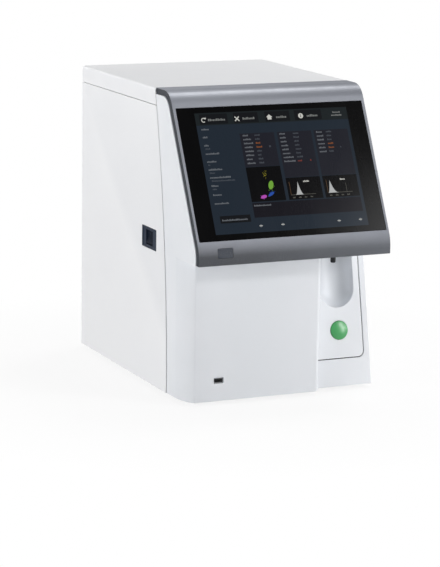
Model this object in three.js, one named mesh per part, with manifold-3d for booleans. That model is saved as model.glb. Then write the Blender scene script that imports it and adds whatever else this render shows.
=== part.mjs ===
// A bench-top blood analyzer with a leaning touch screen, in millimetres, +Z up, its front towards -Y.
// Heights are taken from the casing's bottom edge and depths from the foot of the seam between the
// side panels and the front casing, until the last lines centre the whole over its footprint.
import * as THREE from "three";
import { mergeVertices } from "three/addons/utils/BufferGeometryUtils.js";
import Module from "manifold-3d";

const wasm = await Module();
wasm.setup();

// Clearances and stock
const gap = 0.3; // kept between neighbouring pieces
const overrun = 2; // how far a cutter runs past the face it opens
const weld = 0.0001; // vertices nearer than this are one
const sheet = 1.5; // painted steel sheet
const moulded = 3; // wall of the plastic mouldings
const seamLine = 0.8; // open joint that shows between two covers
const circleSides = 24;
const smallSides = 12;
const arcSteps = 5;

// The casing as a whole
const caseRear = 345.5;
const seamSweep = 52; // how far back the seam has swept at the top
const coverDrop = 25;
const coverEdgeRadius = 4;
const footHeight = 6;
const footRadius = 12;
const footInset = 48;
const footRecess = { radius: 5, depth: 2.5 };

// The screen, and the bezel that holds it
const glass = { width: 300, height: 201, thickness: 3, above: 26.5, under: 15.38, ledge: 4 };
const bezel = { side: 7.5, depth: 8.8, skin: 3, step: 1, solidMargin: 6 };
const display = { clear: 8 };
const screenPlate = { margin: 4, rim: 60 };
const reader = { width: 23.4, height: 13.6, thickness: 1.5, fromSide: 45.5, rise: 17.5, proud: 0.4 };

// The head, which leans with the screen
const head = {
  lean: 26.9, // degrees from upright
  front: 105.2,
  chinRise: 20.9, // from the chin's edge to where the slope would meet the upright chin
  topRadius: 32,
  chinRadius: 50,
  draft: 2, // narrowing of each side from the seam's top to the chin
};

// The front casing below the head, with its block on the left and a leaning face on the right
const block = {
  front: 70,
  cornerStart: 28,
  cornerWide: 30,
  cornerTurn: 57.14, // degrees of the corner's ellipse
  edgeRadius: 7,
  step: 0.8, // the mouldings stand this far inside the side panels
};
const face = { foot: 55.3, lean: 11.3 };

// The sampling fascia in the leaning face
const fascia = { width: 85.2, margin: 12, foot: 41.5, thickness: 3, cornerRadius: 9 };
const button = {
  rise: 40.8,
  radius: 14.2,
  proud: 1,
  dome: 3.4,
  body: 8,
  lip: 1.8,
  flange: 1.5,
  stemRadius: 3,
  stem: 3,
  travel: 2,
};
const buttonSwitch = { height: 14, body: 9, post: 5 };
const scoop = { fromEdge: 38.5, rise: 61.5, reach: 64.7, radius: 28.3, depth: 24, wall: 2.5, ceiling: 3 };
const sleeve = { inset: 0.24, radius: 4, bore: 1.5, drop: 27.5, flangeRadius: 7.5, flange: 2.5 };

// Sockets and switches
const usb = { fromSide: 53.5, z: 30.6, width: 14.6, height: 7.2, wall: 0.7, depth: 14, tongue: 2 };
const powerSwitch = { y: 69.4, z: 220.5, depth: 22, pocketLong: 25.8, pocketTall: 22.4, pocketDepth: 9 };
const switchRim = { long: 14.3, tall: 4.6 };
const rocker = { sideGap: 0.4, endGap: 1.5, sunk: 1.4, notch: 1.1, pivot: 5, thickness: 6, tilt: 6 };

// The steel chassis
const tray = { flange: 22 };
const bulkhead = { fromProbe: 45, thickness: 2, clear: 0.6, fromRear: 53.7, foot: 16 };
const rearFlange = 12;

// Belt drives of the sampling arm
const drive = {
  pitchRadius: 6.4,
  pulleyWidth: 7,
  flange: 1.2,
  flangeRise: 1.6,
  beltWidth: 5,
  beltThick: 1.4,
  pinRadius: 2,
  clear: 5,
};
const motor = { width: 28, length: 31, shaftRadius: 2.5, collar: 1.5, collarRadius: 11 };

// The fore-and-aft slide
const traverse = {
  railInset: 4,
  railLong: 156,
  railTall: 12,
  railThick: 7,
  railDrop: 31,
  idlerInset: 12,
  pulleyBeyond: 18,
  frontSpare: 11,
  rearSpare: 25,
  blockLong: 30,
  blockTall: 27,
  blockThick: 12,
  blockOff: 2,
};

// The lift
const lift = {
  plate: 2,
  inset: 1,
  rise: 7.5,
  margin: 2.6,
  headroom: 16,
  railWide: 9,
  railThick: 6,
  railInset: 4,
  railSpare: 20,
  idlerRise: 10,
  motorBeyond: 28,
  blockTall: 26,
  blockWide: 18,
  blockThick: 11,
  blockOff: 2,
  armTall: 7,
  armWide: 8,
};
const needle = { radius: 0.8, long: 68, clear: 5, stop: 3, hubRadius: 2.4, hub: 9, above: 7 };

// The counting bath below the rear end of the sampling arm's way
const bath = { wall: 6, bore: 9, drop: 0.5, tall: 78, drain: 3, armTall: 10, armWide: 14 };

// Optics, in a row along the bench
const bench = {
  fromSide: 29.5,
  fromBulkhead: 48,
  fromRear: 47.7,
  z: 178,
  thick: 8,
  leg: 7,
  legInset: 14,
  clear: 5,
};
const laser = { long: 60, wide: 34, tall: 28, snoutRadius: 7, snout: 12 };
const flowCell = { width: 22, tall: 46, bore: 1.6, spout: 5.5 };
const detector = { long: 30, wide: 44, tall: 34, snoutRadius: 9, snout: 8 };
const beamGap = 8; // free beam between the optical pieces

// Fluidics
const syringe = {
  fromBulkhead: 56,
  inset: 8,
  z: 130,
  radius: 9,
  wall: 1.6,
  long: 62,
  cap: 8,
  rodRadius: 3,
  headTall: 6,
  footTall: 7,
  footDrop: 7,
  shelf: 3,
};
const actuator = { width: 28, tall: 28, rodRadius: 2.5, engaged: 25 };
const manifold = { front: 16, clear: 2, long: 100, wide: 26, tall: 44, valves: 5, valveRadius: 8, valve: 26 };
const chamber = { fromSide: 41.5, clear: 1.2, radius: 27, wall: 2.5, tall: 96, lid: 6, spoutRadius: 4 };
const pump = { fromSide: 23.5, fromRear: 51.7, long: 84, wide: 44, tall: 40, headLong: 26, headTall: 58 };
const supply = { fromSide: 17.5, clear: 4, long: 132, wide: 96, tall: 46, rows: 6, slot: 3, slotInset: 24 };
const board = { front: 60, fromRear: 40, tall: 116, thick: 1.6, off: 6, post: 3, chipTall: 4, clear: 5 };
const boardChipShares = [
  { at: 0.22, up: 0.62, size: 0.17 },
  { at: 0.55, up: 0.4, size: 0.24 },
  { at: 0.8, up: 0.7, size: 0.12 },
];

// The back
const fan = {
  fromSide: 87.5,
  drop: 91,
  width: 80,
  depth: 25,
  wall: 2,
  hub: 16,
  blades: 7,
  bladeThick: 2,
  bladeTurn: 45, // degrees
  tipGap: 1.6,
  inset: 4,
  strut: 4,
  plate: 3,
};
const guard = { rings: 3, wire: 2, hub: 9 };
const inlet = {
  fromSide: 61.5,
  z: 44,
  flange: 3,
  flangeSide: 10,
  flangeTop: 3,
  wallSide: 2.8,
  wallTop: 2.6,
  floor: 11,
  holeWide: 24.4,
  holeTall: 16.8,
  holeDepth: 17,
  pinThick: 2,
  pinWide: 4,
  pinSunk: 5,
  pinPitch: 7,
  pinShift: 2,
};
const port = {
  z: 60,
  reach: 12,
  pitch: 34,
  fromSide: 105.5,
  radius: 7,
  flange: 4,
  barb: 3.2,
  bore: 1.6,
  tail: 10,
};
const vents = { count: 7, fromSide: 73.5, drop: 99, wide: 92, tall: 4, pitch: 12 };

// Figures that follow from the above
const radians = THREE.MathUtils.degToRad;
const lean = radians(head.lean);
const faceLean = radians(face.lean);

const caseWidth = glass.width + 2 * bezel.side;
const halfWidth = caseWidth / 2;
const casingHalf = halfWidth - block.step;
const fasciaX = [halfWidth - fascia.margin - fascia.width, halfWidth - fascia.margin];
const blockRight = fasciaX[0] - gap;
const scoopX = fasciaX[1] - scoop.fromEdge;
const bulkheadX = scoopX - bulkhead.fromProbe;

const buttonZ = fascia.foot + button.rise;
const scoopZ = buttonZ + scoop.rise;
const chinZ = scoopZ + scoop.reach;
const bendZ = chinZ + head.chinRise;
const slopeLong = glass.above + glass.height + glass.under;
const caseHeight = bendZ + slopeLong * Math.cos(lean);
const coverSeam = caseHeight - coverDrop;

const rearInside = caseRear - sheet - gap;
const centreDepth = (caseRear + port.reach - head.front) / 2;
const faceAt = (z) => -face.foot + z * Math.tan(faceLean);
const sleeveY = faceAt(chinZ) + sleeve.inset;
const bulkheadY = [
  faceAt(chinZ) + fascia.thickness / Math.cos(faceLean) + bulkhead.clear,
  rearInside - bulkhead.fromRear,
];

const casingInset = bezel.depth + gap;
const windowWide = glass.width - 2 * glass.ledge;
const windowTall = glass.height - 2 * glass.ledge;
const moduleWide = windowWide - 2 * display.clear;

// Solids from three.js shapes
function solid(geometry) {
  const bare = new THREE.BufferGeometry();
  bare.setAttribute("position", geometry.getAttribute("position").clone());
  if (geometry.index) bare.setIndex(geometry.index.clone());
  const merged = mergeVertices(bare, weld);
  return new wasm.Manifold(
    new wasm.Mesh({
      numProp: 3,
      vertProperties: new Float32Array(merged.getAttribute("position").array),
      triVerts: new Uint32Array(merged.index.array),
    }),
  );
}

function geometryOf(shape) {
  const mesh = shape.getMesh();
  const indexed = new THREE.BufferGeometry();
  indexed.setAttribute("position", new THREE.BufferAttribute(mesh.vertProperties, 3));
  indexed.setIndex(new THREE.BufferAttribute(mesh.triVerts, 1));
  const faceted = indexed.toNonIndexed();
  faceted.computeVertexNormals();
  return faceted;
}

function union(...shapes) {
  return shapes.flat().reduce((whole, next) => whole.add(next));
}

function cut(shape, ...cutters) {
  return cutters.flat().reduce((left, next) => left.subtract(next), shape);
}

function box(x, y, z) {
  const geometry = new THREE.BoxGeometry(x[1] - x[0], y[1] - y[0], z[1] - z[0]);
  geometry.translate((x[0] + x[1]) / 2, (y[0] + y[1]) / 2, (z[0] + z[1]) / 2);
  return solid(geometry);
}

// Both ends of a length centred on a place
function about(middle, length) {
  return [middle - length / 2, middle + length / 2];
}

const alongX = new THREE.Matrix4().makeBasis(
  new THREE.Vector3(0, 1, 0),
  new THREE.Vector3(0, 0, 1),
  new THREE.Vector3(1, 0, 0),
);
const alongY = new THREE.Matrix4().makeBasis(
  new THREE.Vector3(0, 0, 1),
  new THREE.Vector3(1, 0, 0),
  new THREE.Vector3(0, 1, 0),
);
const alongZ = new THREE.Matrix4();

function prism(outline, span, basis, holes = []) {
  const shape = new THREE.Shape(outline.map(([a, b]) => new THREE.Vector2(a, b)));
  shape.holes = holes.map((hole) => new THREE.Path(hole.map(([a, b]) => new THREE.Vector2(a, b))));
  const geometry = new THREE.ExtrudeGeometry(shape, { depth: span[1] - span[0], bevelEnabled: false });
  geometry.translate(0, 0, span[0]);
  geometry.applyMatrix4(basis);
  return geometry;
}

// Outlines of [y, z], [z, x] and [x, y] points, run along the axis that each leaves out
const prismX = (outline, span, holes) => solid(prism(outline, span, alongX, holes));
const prismY = (outline, span, holes) => solid(prism(outline, span, alongY, holes));
const prismZ = (outline, span, holes) => solid(prism(outline, span, alongZ, holes));

function circle(centre, radius, sides = circleSides, turn = 0) {
  return Array.from({ length: sides }, (_, i) => {
    const angle = turn + (2 * Math.PI * i) / sides;
    return [centre[0] + radius * Math.cos(angle), centre[1] + radius * Math.sin(angle)];
  });
}

function arc(centre, radii, from, to, steps = arcSteps) {
  return Array.from({ length: steps + 1 }, (_, i) => {
    const angle = radians(from + ((to - from) * i) / steps);
    return [centre[0] + radii[0] * Math.cos(angle), centre[1] + radii[1] * Math.sin(angle)];
  });
}

// A rectangle with round corners, given by its two spans
function roundRect(a, b, radius, steps = arcSteps) {
  const radii = [radius, radius];
  return [
    ...arc([a[1] - radius, b[1] - radius], radii, 0, 90, steps),
    ...arc([a[0] + radius, b[1] - radius], radii, 90, 180, steps),
    ...arc([a[0] + radius, b[0] + radius], radii, 180, 270, steps),
    ...arc([a[1] - radius, b[0] + radius], radii, 270, 360, steps),
  ];
}

// The object's tree of named meshes
const analyzer = new THREE.Group();
const casing = new THREE.Group();
analyzer.add(casing);

const finishes = {
  whiteSteel: { color: 0xe3e6ea, roughness: 0.55, metalness: 0 },
  whitePlastic: { color: 0xe2e5e9, roughness: 0.5, metalness: 0 },
  greyPlastic: { color: 0x6b6e75, roughness: 0.38, metalness: 0.15 },
  blackGlass: { color: 0x050506, roughness: 0.08, metalness: 0 },
  darkPlastic: { color: 0x23262d, roughness: 0.5, metalness: 0 },
  blackPlastic: { color: 0x0c0e12, roughness: 0.45, metalness: 0 },
  greenPlastic: { color: 0x4fa765, roughness: 0.35, metalness: 0 },
  clearPlastic: { color: 0xcfd6da, roughness: 0.3, metalness: 0 },
  rubber: { color: 0x1b1b1d, roughness: 0.9, metalness: 0 },
  zincSteel: { color: 0xb4b8bc, roughness: 0.45, metalness: 0.9 },
  aluminium: { color: 0xb9bcc0, roughness: 0.4, metalness: 0.9 },
  stainless: { color: 0xc8cacd, roughness: 0.25, metalness: 1 },
  circuit: { color: 0x1f5a3a, roughness: 0.6, metalness: 0 },
};

function piece(name, shape, finish, parent = casing) {
  const mesh = new THREE.Mesh(geometryOf(shape), new THREE.MeshStandardMaterial(finishes[finish]));
  mesh.name = name;
  parent.add(mesh);
  return mesh;
}

// Depth of the seam at a height
function seamAt(z) {
  return seamSweep * (z / caseHeight) ** 2;
}

// What lies between the seam, moved back by a shift, and a plane ahead of it or behind it, as a cutter
function fromSeam(shift, y) {
  const steps = 2 * arcSteps;
  const step = (caseHeight + 2 * overrun) / steps;
  const heights = Array.from({ length: steps + 1 }, (_, i) => i * step - overrun);
  const curve = heights.map((z) => [seamAt(z) + shift, z]);
  const outline = [...curve, [y, caseHeight + overrun], [y, -overrun]];
  return prismX(outline, about(0, caseWidth + 2 * overrun));
}

function behindSeam(shift) {
  return fromSeam(shift, caseRear + overrun);
}

function aheadOfSeam(shift) {
  return fromSeam(shift, -head.front - overrun);
}

// The head and the mouldings beside it narrow towards the chin: a half width at a depth
const headLength = seamSweep + head.front;

function narrowHalf(half, y) {
  const share = Math.max((seamSweep - y) / headLength, 0);
  return half * (1 - (head.draft * share) / halfWidth);
}

function narrowed(geometry) {
  const places = geometry.getAttribute("position");
  for (let i = 0; i < places.count; i++) {
    places.setX(i, narrowHalf(places.getX(i), places.getY(i)));
  }
  return solid(geometry);
}

// The head's profile from the top of the seam down to the chin, some way inside its surface
const slopeTop = -head.front + slopeLong * Math.sin(lean);
const topCentre = [
  slopeTop + head.topRadius * Math.tan((Math.PI / 2 - lean) / 2),
  caseHeight - head.topRadius,
];
const chinCentre = [
  -head.front + head.chinRadius,
  bendZ - head.chinRadius * Math.tan(lean / 2),
];

function headPath(inset, rear, floor) {
  const topRadius = head.topRadius - inset;
  const chinRadius = head.chinRadius - inset;
  return [
    [rear, caseHeight - inset],
    ...arc(topCentre, [topRadius, topRadius], 90, 180 - head.lean, arcSteps + 1),
    ...arc(chinCentre, [chinRadius, chinRadius], 180 - head.lean, 180, arcSteps),
    [-head.front + inset, floor],
  ];
}

// A frame on the slope: X across, Y up the slope, Z out of it, at the glass's middle
const screen = new THREE.Group();
const slopeDown = glass.above + glass.height / 2;
screen.rotation.x = Math.PI / 2 - lean;
screen.position.set(
  0,
  slopeTop - slopeDown * Math.sin(lean),
  caseHeight - slopeDown * Math.cos(lean),
);
casing.add(screen);
screen.updateMatrix();

function placed(shape, group) {
  const geometry = geometryOf(shape);
  geometry.applyMatrix4(group.matrix);
  return solid(geometry);
}

// A frame on the leaning face: X across, Y up it, Z out of it, at the casing's bottom edge
const faceFrame = new THREE.Group();
faceFrame.rotation.x = Math.PI / 2 - faceLean;
faceFrame.position.set(0, -face.foot, 0);
faceFrame.updateMatrix();
casing.add(faceFrame);
const upFace = (z) => z / Math.cos(faceLean);

// Chassis
function baseTray() {
  const half = halfWidth - sheet - gap;
  const span = [seamLine, rearInside];
  const inner = about(0, 2 * (half - sheet));
  const outer = box(about(0, 2 * half), span, [0, tray.flange]);
  return cut(outer, box(inner, [span[0] - overrun, span[1] + overrun], [sheet, tray.flange + overrun]));
}

function centreBulkhead() {
  const plate = box(
    [bulkheadX, bulkheadX + bulkhead.thickness],
    [bulkheadY[0], bulkheadY[1]],
    [sheet + gap, bulkheadTop],
  );
  const foot = box(
    [bulkheadX - bulkhead.foot, bulkheadX + bulkhead.thickness],
    [seamLine, bulkheadY[1]],
    [sheet + gap, sheet + gap + bulkhead.thickness],
  );
  const pin = stud(traverseIdlerY, traverseBeltZ, [bulkheadX, beltX[1] + drive.flange + gap]);
  const shaftHole = prismX(
    circle([traversePulleyY, traverseBeltZ], motor.collarRadius + gap),
    [bulkheadX - overrun, bulkheadX + bulkhead.thickness + overrun],
  );
  const overCasing = box(
    [bulkheadX - overrun, plateRight + overrun],
    [bulkheadY[0] - overrun, seamLine],
    [0, moulded + gap],
  );
  return union(cut(plate, shaftHole, overCasing), foot, pin);
}

// Belt drives, whose pulleys turn about X: the lift's travels with the traverse's block
const plateRight = bulkheadX + bulkhead.thickness;
const beltReach = drive.pitchRadius + drive.beltThick / 2;
const beltLeft = plateRight + 2 * drive.flange + gap;
const beltX = [beltLeft, beltLeft + drive.pulleyWidth];
const slideRight = plateRight + traverse.blockOff + traverse.blockThick;
const liftPlate = [slideRight + gap, slideRight + gap + lift.plate];
const liftBeltLeft = liftPlate[1] + 2 * drive.flange + gap;
const liftBeltX = [liftBeltLeft, liftBeltLeft + drive.pulleyWidth];

const railY = [bulkheadY[0] + traverse.railInset, bulkheadY[0] + traverse.railInset + traverse.railLong];
const slideY = [railY[0] + traverse.frontSpare, railY[0] + traverse.frontSpare + traverse.blockLong];
const traverseTravel = railY[1] - traverse.rearSpare - slideY[1];
const traverseIdlerY = bulkheadY[0] + traverse.idlerInset;
const traversePulleyY = railY[1] + traverse.pulleyBeyond;

const sleeveTop = chinZ + sleeve.flange;
const needleTip = sleeveTop + needle.clear;
const armZ = [needleTip + needle.long, needleTip + needle.long + lift.armTall];
const liftPulleyY = slideY[0] + lift.inset + motor.width / 2;
const liftRailY = liftPulleyY + beltReach + gap + lift.blockWide / 2;
const liftLow = chinZ + lift.rise;
const liftRailZ = [liftLow + lift.railInset, armZ[0] + lift.blockTall + lift.railSpare];
const liftIdlerZ = liftLow + lift.idlerRise;
const liftMotorZ = liftRailZ[1] + lift.motorBeyond;
const traverseBeltZ = liftMotorZ - motor.width - drive.clear;
const traverseRailZ = traverseBeltZ - traverse.railDrop;
const bulkheadTop = traverseBeltZ + motor.width / 2;

function stud(y, z, span) {
  return prismX(circle([y, z], drive.pinRadius, smallSides), span);
}

function pulley(y, z, x, boreRadius) {
  const hub = drive.pitchRadius - drive.beltThick / 2 - gap;
  const rim = hub + drive.flangeRise;
  const rolls = union(
    prismX(circle([y, z], hub, smallSides), x),
    prismX(circle([y, z], rim, smallSides), [x[0] - drive.flange, x[0]]),
    prismX(circle([y, z], rim, smallSides), [x[1], x[1] + drive.flange]),
  );
  const bore = prismX(circle([y, z], boreRadius, smallSides), [x[0] - overrun, x[1] + overrun]);
  return cut(rolls, bore);
}

function beltLoop(ends, radius) {
  const [[ya, za], [yb, zb]] = ends;
  const heading = THREE.MathUtils.radToDeg(Math.atan2(zb - za, yb - ya));
  const radii = [radius, radius];
  return [
    ...arc([yb, zb], radii, heading - 90, heading + 90, 2 * arcSteps),
    ...arc([ya, za], radii, heading + 90, heading + 270, 2 * arcSteps),
  ];
}

function belt(ends, x) {
  const middle = about((x[0] + x[1]) / 2, drive.beltWidth);
  const outer = beltLoop(ends, drive.pitchRadius + drive.beltThick / 2);
  const inner = beltLoop(ends, drive.pitchRadius - drive.beltThick / 2);
  return prismX(outer, middle, [inner]);
}

function motorBody(y, z, faceX, shaftEnd) {
  const shape = box([faceX - motor.length, faceX], about(y, motor.width), about(z, motor.width));
  const collar = prismX(circle([y, z], motor.collarRadius, circleSides), [faceX, faceX + motor.collar]);
  const shaft = prismX(circle([y, z], motor.shaftRadius, smallSides), [faceX, shaftEnd]);
  return union(shape, collar, shaft);
}

function traverseBlock() {
  const x = [plateRight + traverse.blockOff, slideRight];
  const body = box(x, slideY, about(traverseRailZ, traverse.blockTall));
  const groove = box(
    [x[0] - overrun, plateRight + gap + traverse.railThick + gap],
    [slideY[0] - overrun, slideY[1] + overrun],
    about(traverseRailZ, traverse.railTall + 2 * gap),
  );
  const clamp = box(
    [beltX[0] + drive.flange, slideRight],
    about((slideY[0] + slideY[1]) / 2, traverse.blockLong / 3),
    [traverseRailZ, traverseBeltZ - beltReach - gap],
  );
  return cut(union(body, clamp), groove);
}

function liftCarrier() {
  const y = [slideY[0] + lift.inset, liftRailY + lift.blockWide / 2 + lift.margin];
  const plate = box(liftPlate, y, [liftLow, liftMotorZ + lift.headroom]);
  const collarHole = prismX(
    circle([liftPulleyY, liftMotorZ], motor.collarRadius + gap),
    [liftPlate[0] - overrun, liftPlate[1] + overrun],
  );
  const pin = stud(liftPulleyY, liftIdlerZ, [liftPlate[0], liftBeltX[1] + drive.flange + gap]);
  return union(cut(plate, collarHole), pin);
}

function liftBlock() {
  const x = [liftPlate[1] + lift.blockOff, liftPlate[1] + lift.blockOff + lift.blockThick];
  const z = [armZ[0], armZ[0] + lift.blockTall];
  const body = box(x, about(liftRailY, lift.blockWide), z);
  const groove = box(
    [x[0] - overrun, liftPlate[1] + gap + lift.railThick + gap],
    about(liftRailY, lift.railWide + 2 * gap),
    [z[0] - overrun, z[1] + overrun],
  );
  const armX = [liftBeltX[1] + 2 * drive.flange + gap, scoopX + lift.armWide / 2];
  const root = box([x[1] - sheet, armX[1]], about(liftRailY, lift.blockWide), armZ);
  const arm = box(armX, [sleeveY - lift.armWide / 2, liftRailY], armZ);
  const hole = prismZ(
    circle([scoopX, sleeveY], needle.hubRadius + gap, smallSides),
    [armZ[0] - overrun, armZ[1] + overrun],
  );
  return cut(union(body, root, arm), groove, hole);
}

function sampleProbe() {
  const centre = [scoopX, sleeveY];
  const top = armZ[1] + needle.hub;
  return union(
    prismZ(circle(centre, needle.radius, smallSides), [needleTip, top + needle.above]),
    prismZ(circle(centre, needle.hubRadius, smallSides), [armZ[0] - gap, top]),
    prismZ(circle(centre, needle.hubRadius + sheet, smallSides), [armZ[1] + gap, armZ[1] + gap + moulded]),
  );
}

// Covers
function sidePanel(side) {
  const inner = halfWidth - sheet;
  const x = side < 0 ? [-halfWidth, -inner] : [inner, halfWidth];
  const root = inner + sheet / 2;
  const flangeX = side < 0 ? [-root, -inner + rearFlange] : [inner - rearFlange, root];
  const top = coverSeam - seamLine;
  const ahead = aheadOfSeam(seamLine);
  const rearPlate = [rearInside - sheet, rearInside];
  const plate = cut(box(x, [-overrun, caseRear], [0, top]), ahead);
  const flange = box(flangeX, rearPlate, [tray.flange + gap, top - sheet]);
  return union(plate, flange);
}

function leftSidePanel() {
  const hole = box(
    [-halfWidth - overrun, -halfWidth + sheet + overrun],
    about(powerSwitch.y, switchLong + 2 * gap),
    about(powerSwitch.z, switchTall + 2 * gap),
  );
  return cut(sidePanel(-1), hole);
}

function topCover() {
  const low = [coverSeam - overrun, coverSeam];
  const outer = roundRect([low[0] - coverDrop, caseHeight], about(0, caseWidth), coverEdgeRadius);
  const inner = roundRect(
    [low[0] - 2 * coverDrop, caseHeight - sheet],
    about(0, caseWidth - 2 * sheet),
    coverEdgeRadius - sheet,
  );
  const under = box(about(0, caseWidth + overrun), [-2 * overrun, caseRear + overrun], [
    low[0] - 2 * coverDrop,
    coverSeam,
  ]);
  const shell = cut(
    prismY(outer, [-overrun, caseRear]),
    prismY(inner, [-2 * overrun, caseRear - sheet]),
    under,
  );
  return cut(shell, aheadOfSeam(seamLine));
}

function rearPanel() {
  const y = [caseRear - sheet, caseRear];
  const through = [y[0] - overrun, y[1] + overrun];
  const plate = box(about(0, caseWidth - 2 * sheet - 2 * gap), y, [0, coverSeam - seamLine]);
  const fanHole = prismY(circle([fanZ, fanX], fanBore), through);
  const inletHole = box(
    about(inletX, inletBodyWide + 2 * gap),
    through,
    about(inlet.z, inletBodyTall + 2 * gap),
  );
  const portHoles = portPlaces.map((x) =>
    prismY(circle([port.z, x], port.barb + gap + sheet, smallSides), through),
  );
  const ventX = about(halfWidth - vents.fromSide, vents.wide);
  const slots = Array.from({ length: vents.count }, (_, i) =>
    box(ventX, through, about(coverSeam - vents.drop - i * vents.pitch, vents.tall)),
  );
  return cut(plate, fanHole, inletHole, portHoles, slots);
}

// Mouldings at the front
function blockPlan(inset) {
  const wide = block.cornerWide - inset;
  const front = block.front - inset;
  const deep = (front - block.cornerStart) / Math.sin(radians(block.cornerTurn));
  const half = narrowHalf(casingHalf, -block.cornerStart) - inset;
  const centre = [-half + wide, -block.cornerStart];
  const right = blockRight - inset;
  const edge = block.edgeRadius - inset;
  const back = seamSweep + overrun;
  return [
    [-casingHalf + inset, back],
    ...arc(centre, [wide, deep], 180, 180 + block.cornerTurn, arcSteps + 1),
    ...arc([right - edge, -front + edge], [edge, edge], 270, 360, arcSteps - 1),
    [right, back],
  ];
}

function headSolid(inset, floor, half) {
  const rear = seamSweep + overrun;
  const outline = [...headPath(inset, rear, floor), [rear, floor]];
  return narrowed(prism(outline, about(0, 2 * half), alongX));
}

function wedge(inset, span, z) {
  const back = seamSweep + overrun;
  const front = z.map((height) => [faceAt(height) + inset, height]);
  return narrowed(prism([[back, z[0]], ...front, [back, z[1]]], span, alongX));
}

function frontCasing() {
  const roof = chinZ + moulded;
  const outside = union(
    headSolid(casingInset, chinZ, casingHalf),
    prismZ(blockPlan(0), [0, roof]),
    wedge(0, [blockRight - moulded, casingHalf], [0, roof]),
  );
  const inside = union(
    headSolid(casingInset + moulded, roof, casingHalf - moulded),
    prismZ(blockPlan(moulded), [moulded, roof + overrun]),
    wedge(moulded, [blockRight - moulded - overrun, casingHalf - moulded], [moulded, roof + overrun]),
  );
  const screenHole = placed(
    box(about(0, windowWide), about(0, windowTall), [-casingInset - 2 * moulded, overrun]),
    screen,
  );
  const usbHole = box(
    about(usbX, usb.width + 2 * gap),
    [-block.front - overrun, -block.front + moulded + overrun],
    about(usb.z, usb.height + 2 * gap),
  );
  const sleeveHole = prismZ(circle([scoopX, sleeveY], sleeve.flangeRadius + gap), [
    chinZ - overrun,
    roof + overrun,
  ]);
  return cut(outside, inside, screenHole, usbHole, sleeveHole, fasciaOpening(), behindSeam(0));
}

function fasciaOutline(grow) {
  const x = [fasciaX[0] - grow, fasciaX[1] + grow];
  const y = [upFace(fascia.foot) - grow, upFace(chinZ + caseHeight)];
  const radius = fascia.cornerRadius + grow;
  const radii = [radius, radius];
  return [
    [x[0], y[0]],
    ...arc([x[1] - radius, y[0] + radius], radii, 270, 360),
    [x[1], y[1]],
    [x[0], y[1]],
  ];
}

function fasciaOpening() {
  const opening = placed(prismZ(fasciaOutline(seamLine), [-fascia.thickness - moulded, overrun]), faceFrame);
  const low = box(
    [blockRight, halfWidth],
    [-head.front, seamSweep],
    [0, chinZ],
  );
  return opening.intersect(low);
}

function scoopSolid(grow) {
  const radius = scoop.radius + grow;
  const depth = scoop.depth + grow;
  const ball = new THREE.SphereGeometry(1, circleSides, circleSides / 2);
  ball.scale(radius, radius, depth);
  const tube = new THREE.CylinderGeometry(1, 1, 1, circleSides);
  const long = upFace(chinZ);
  tube.scale(radius, long, depth);
  tube.translate(0, long / 2, 0);
  const both = solid(ball).add(solid(tube));
  const frame = new THREE.Group();
  frame.position.set(scoopX, upFace(scoopZ), 0);
  frame.updateMatrix();
  return placed(both, frame);
}

function samplingFascia() {
  const top = chinZ - gap;
  const behind = box(
    [blockRight - overrun, halfWidth],
    [-overrun, upFace(chinZ + caseHeight)],
    [-scoop.depth - 2 * scoop.wall, -fascia.thickness / 2],
  );
  const plate = prismZ(fasciaOutline(0), [-fascia.thickness, 0]);
  const shell = scoopSolid(scoop.wall).intersect(behind);
  const buttonHole = prismZ(circle([scoopX, upFace(buttonZ)], button.radius + gap), [
    -fascia.thickness - overrun,
    overrun,
  ]);
  const below = (z) => box(about(0, 2 * caseWidth), about(0, 2 * caseHeight), [-overrun, z]);
  const body = placed(cut(union(plate, shell), buttonHole), faceFrame).intersect(below(top));
  const hollow = placed(scoopSolid(0), faceFrame).intersect(below(top - scoop.ceiling));
  const sleeveHole = prismZ(circle([scoopX, sleeveY], sleeve.radius + gap, smallSides), [
    scoopZ,
    top + overrun,
  ]);
  return cut(body, hollow, sleeveHole);
}

function washSleeve() {
  const tip = chinZ - sleeve.drop;
  const profile = [
    [sleeve.bore, tip],
    [sleeve.radius - sleeve.bore / 2, tip],
    [sleeve.radius, tip + sleeve.bore],
    [sleeve.radius, chinZ],
    [sleeve.flangeRadius, chinZ],
    [sleeve.flangeRadius, sleeveTop],
    [sleeve.bore, sleeveTop],
    [sleeve.bore, tip],
  ];
  return lathe(profile, [scoopX, sleeveY]);
}

// A closed profile of [radius, height] points, turned about an upright axis
function lathe(profile, centre, sides = smallSides) {
  const points = profile.map(([r, z]) => new THREE.Vector2(r, z));
  const geometry = new THREE.LatheGeometry(points, sides);
  geometry.rotateX(Math.PI / 2);
  geometry.translate(centre[0], centre[1], 0);
  return solid(geometry);
}

const buttonLip = button.radius + button.lip;

function startButton() {
  const rim = button.proud;
  const domeSteps = Array.from({ length: arcSteps }, (_, i) => {
    const angle = ((Math.PI / 2) * (i + 1)) / arcSteps;
    return [button.radius * Math.cos(angle), rim + button.dome * Math.sin(angle)];
  });
  domeSteps[arcSteps - 1][0] = 0;
  const back = -button.body;
  const flangeTop = -fascia.thickness - gap;
  const profile = [
    [0, back - button.stem],
    [button.stemRadius, back - button.stem],
    [button.stemRadius, back],
    [button.radius - sheet, back],
    [button.radius - sheet, flangeTop - button.flange],
    [buttonLip, flangeTop - button.flange],
    [buttonLip, flangeTop],
    [button.radius, flangeTop],
    [button.radius, rim],
    ...domeSteps,
  ];
  return lathe(profile, [0, 0], circleSides);
}

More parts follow.
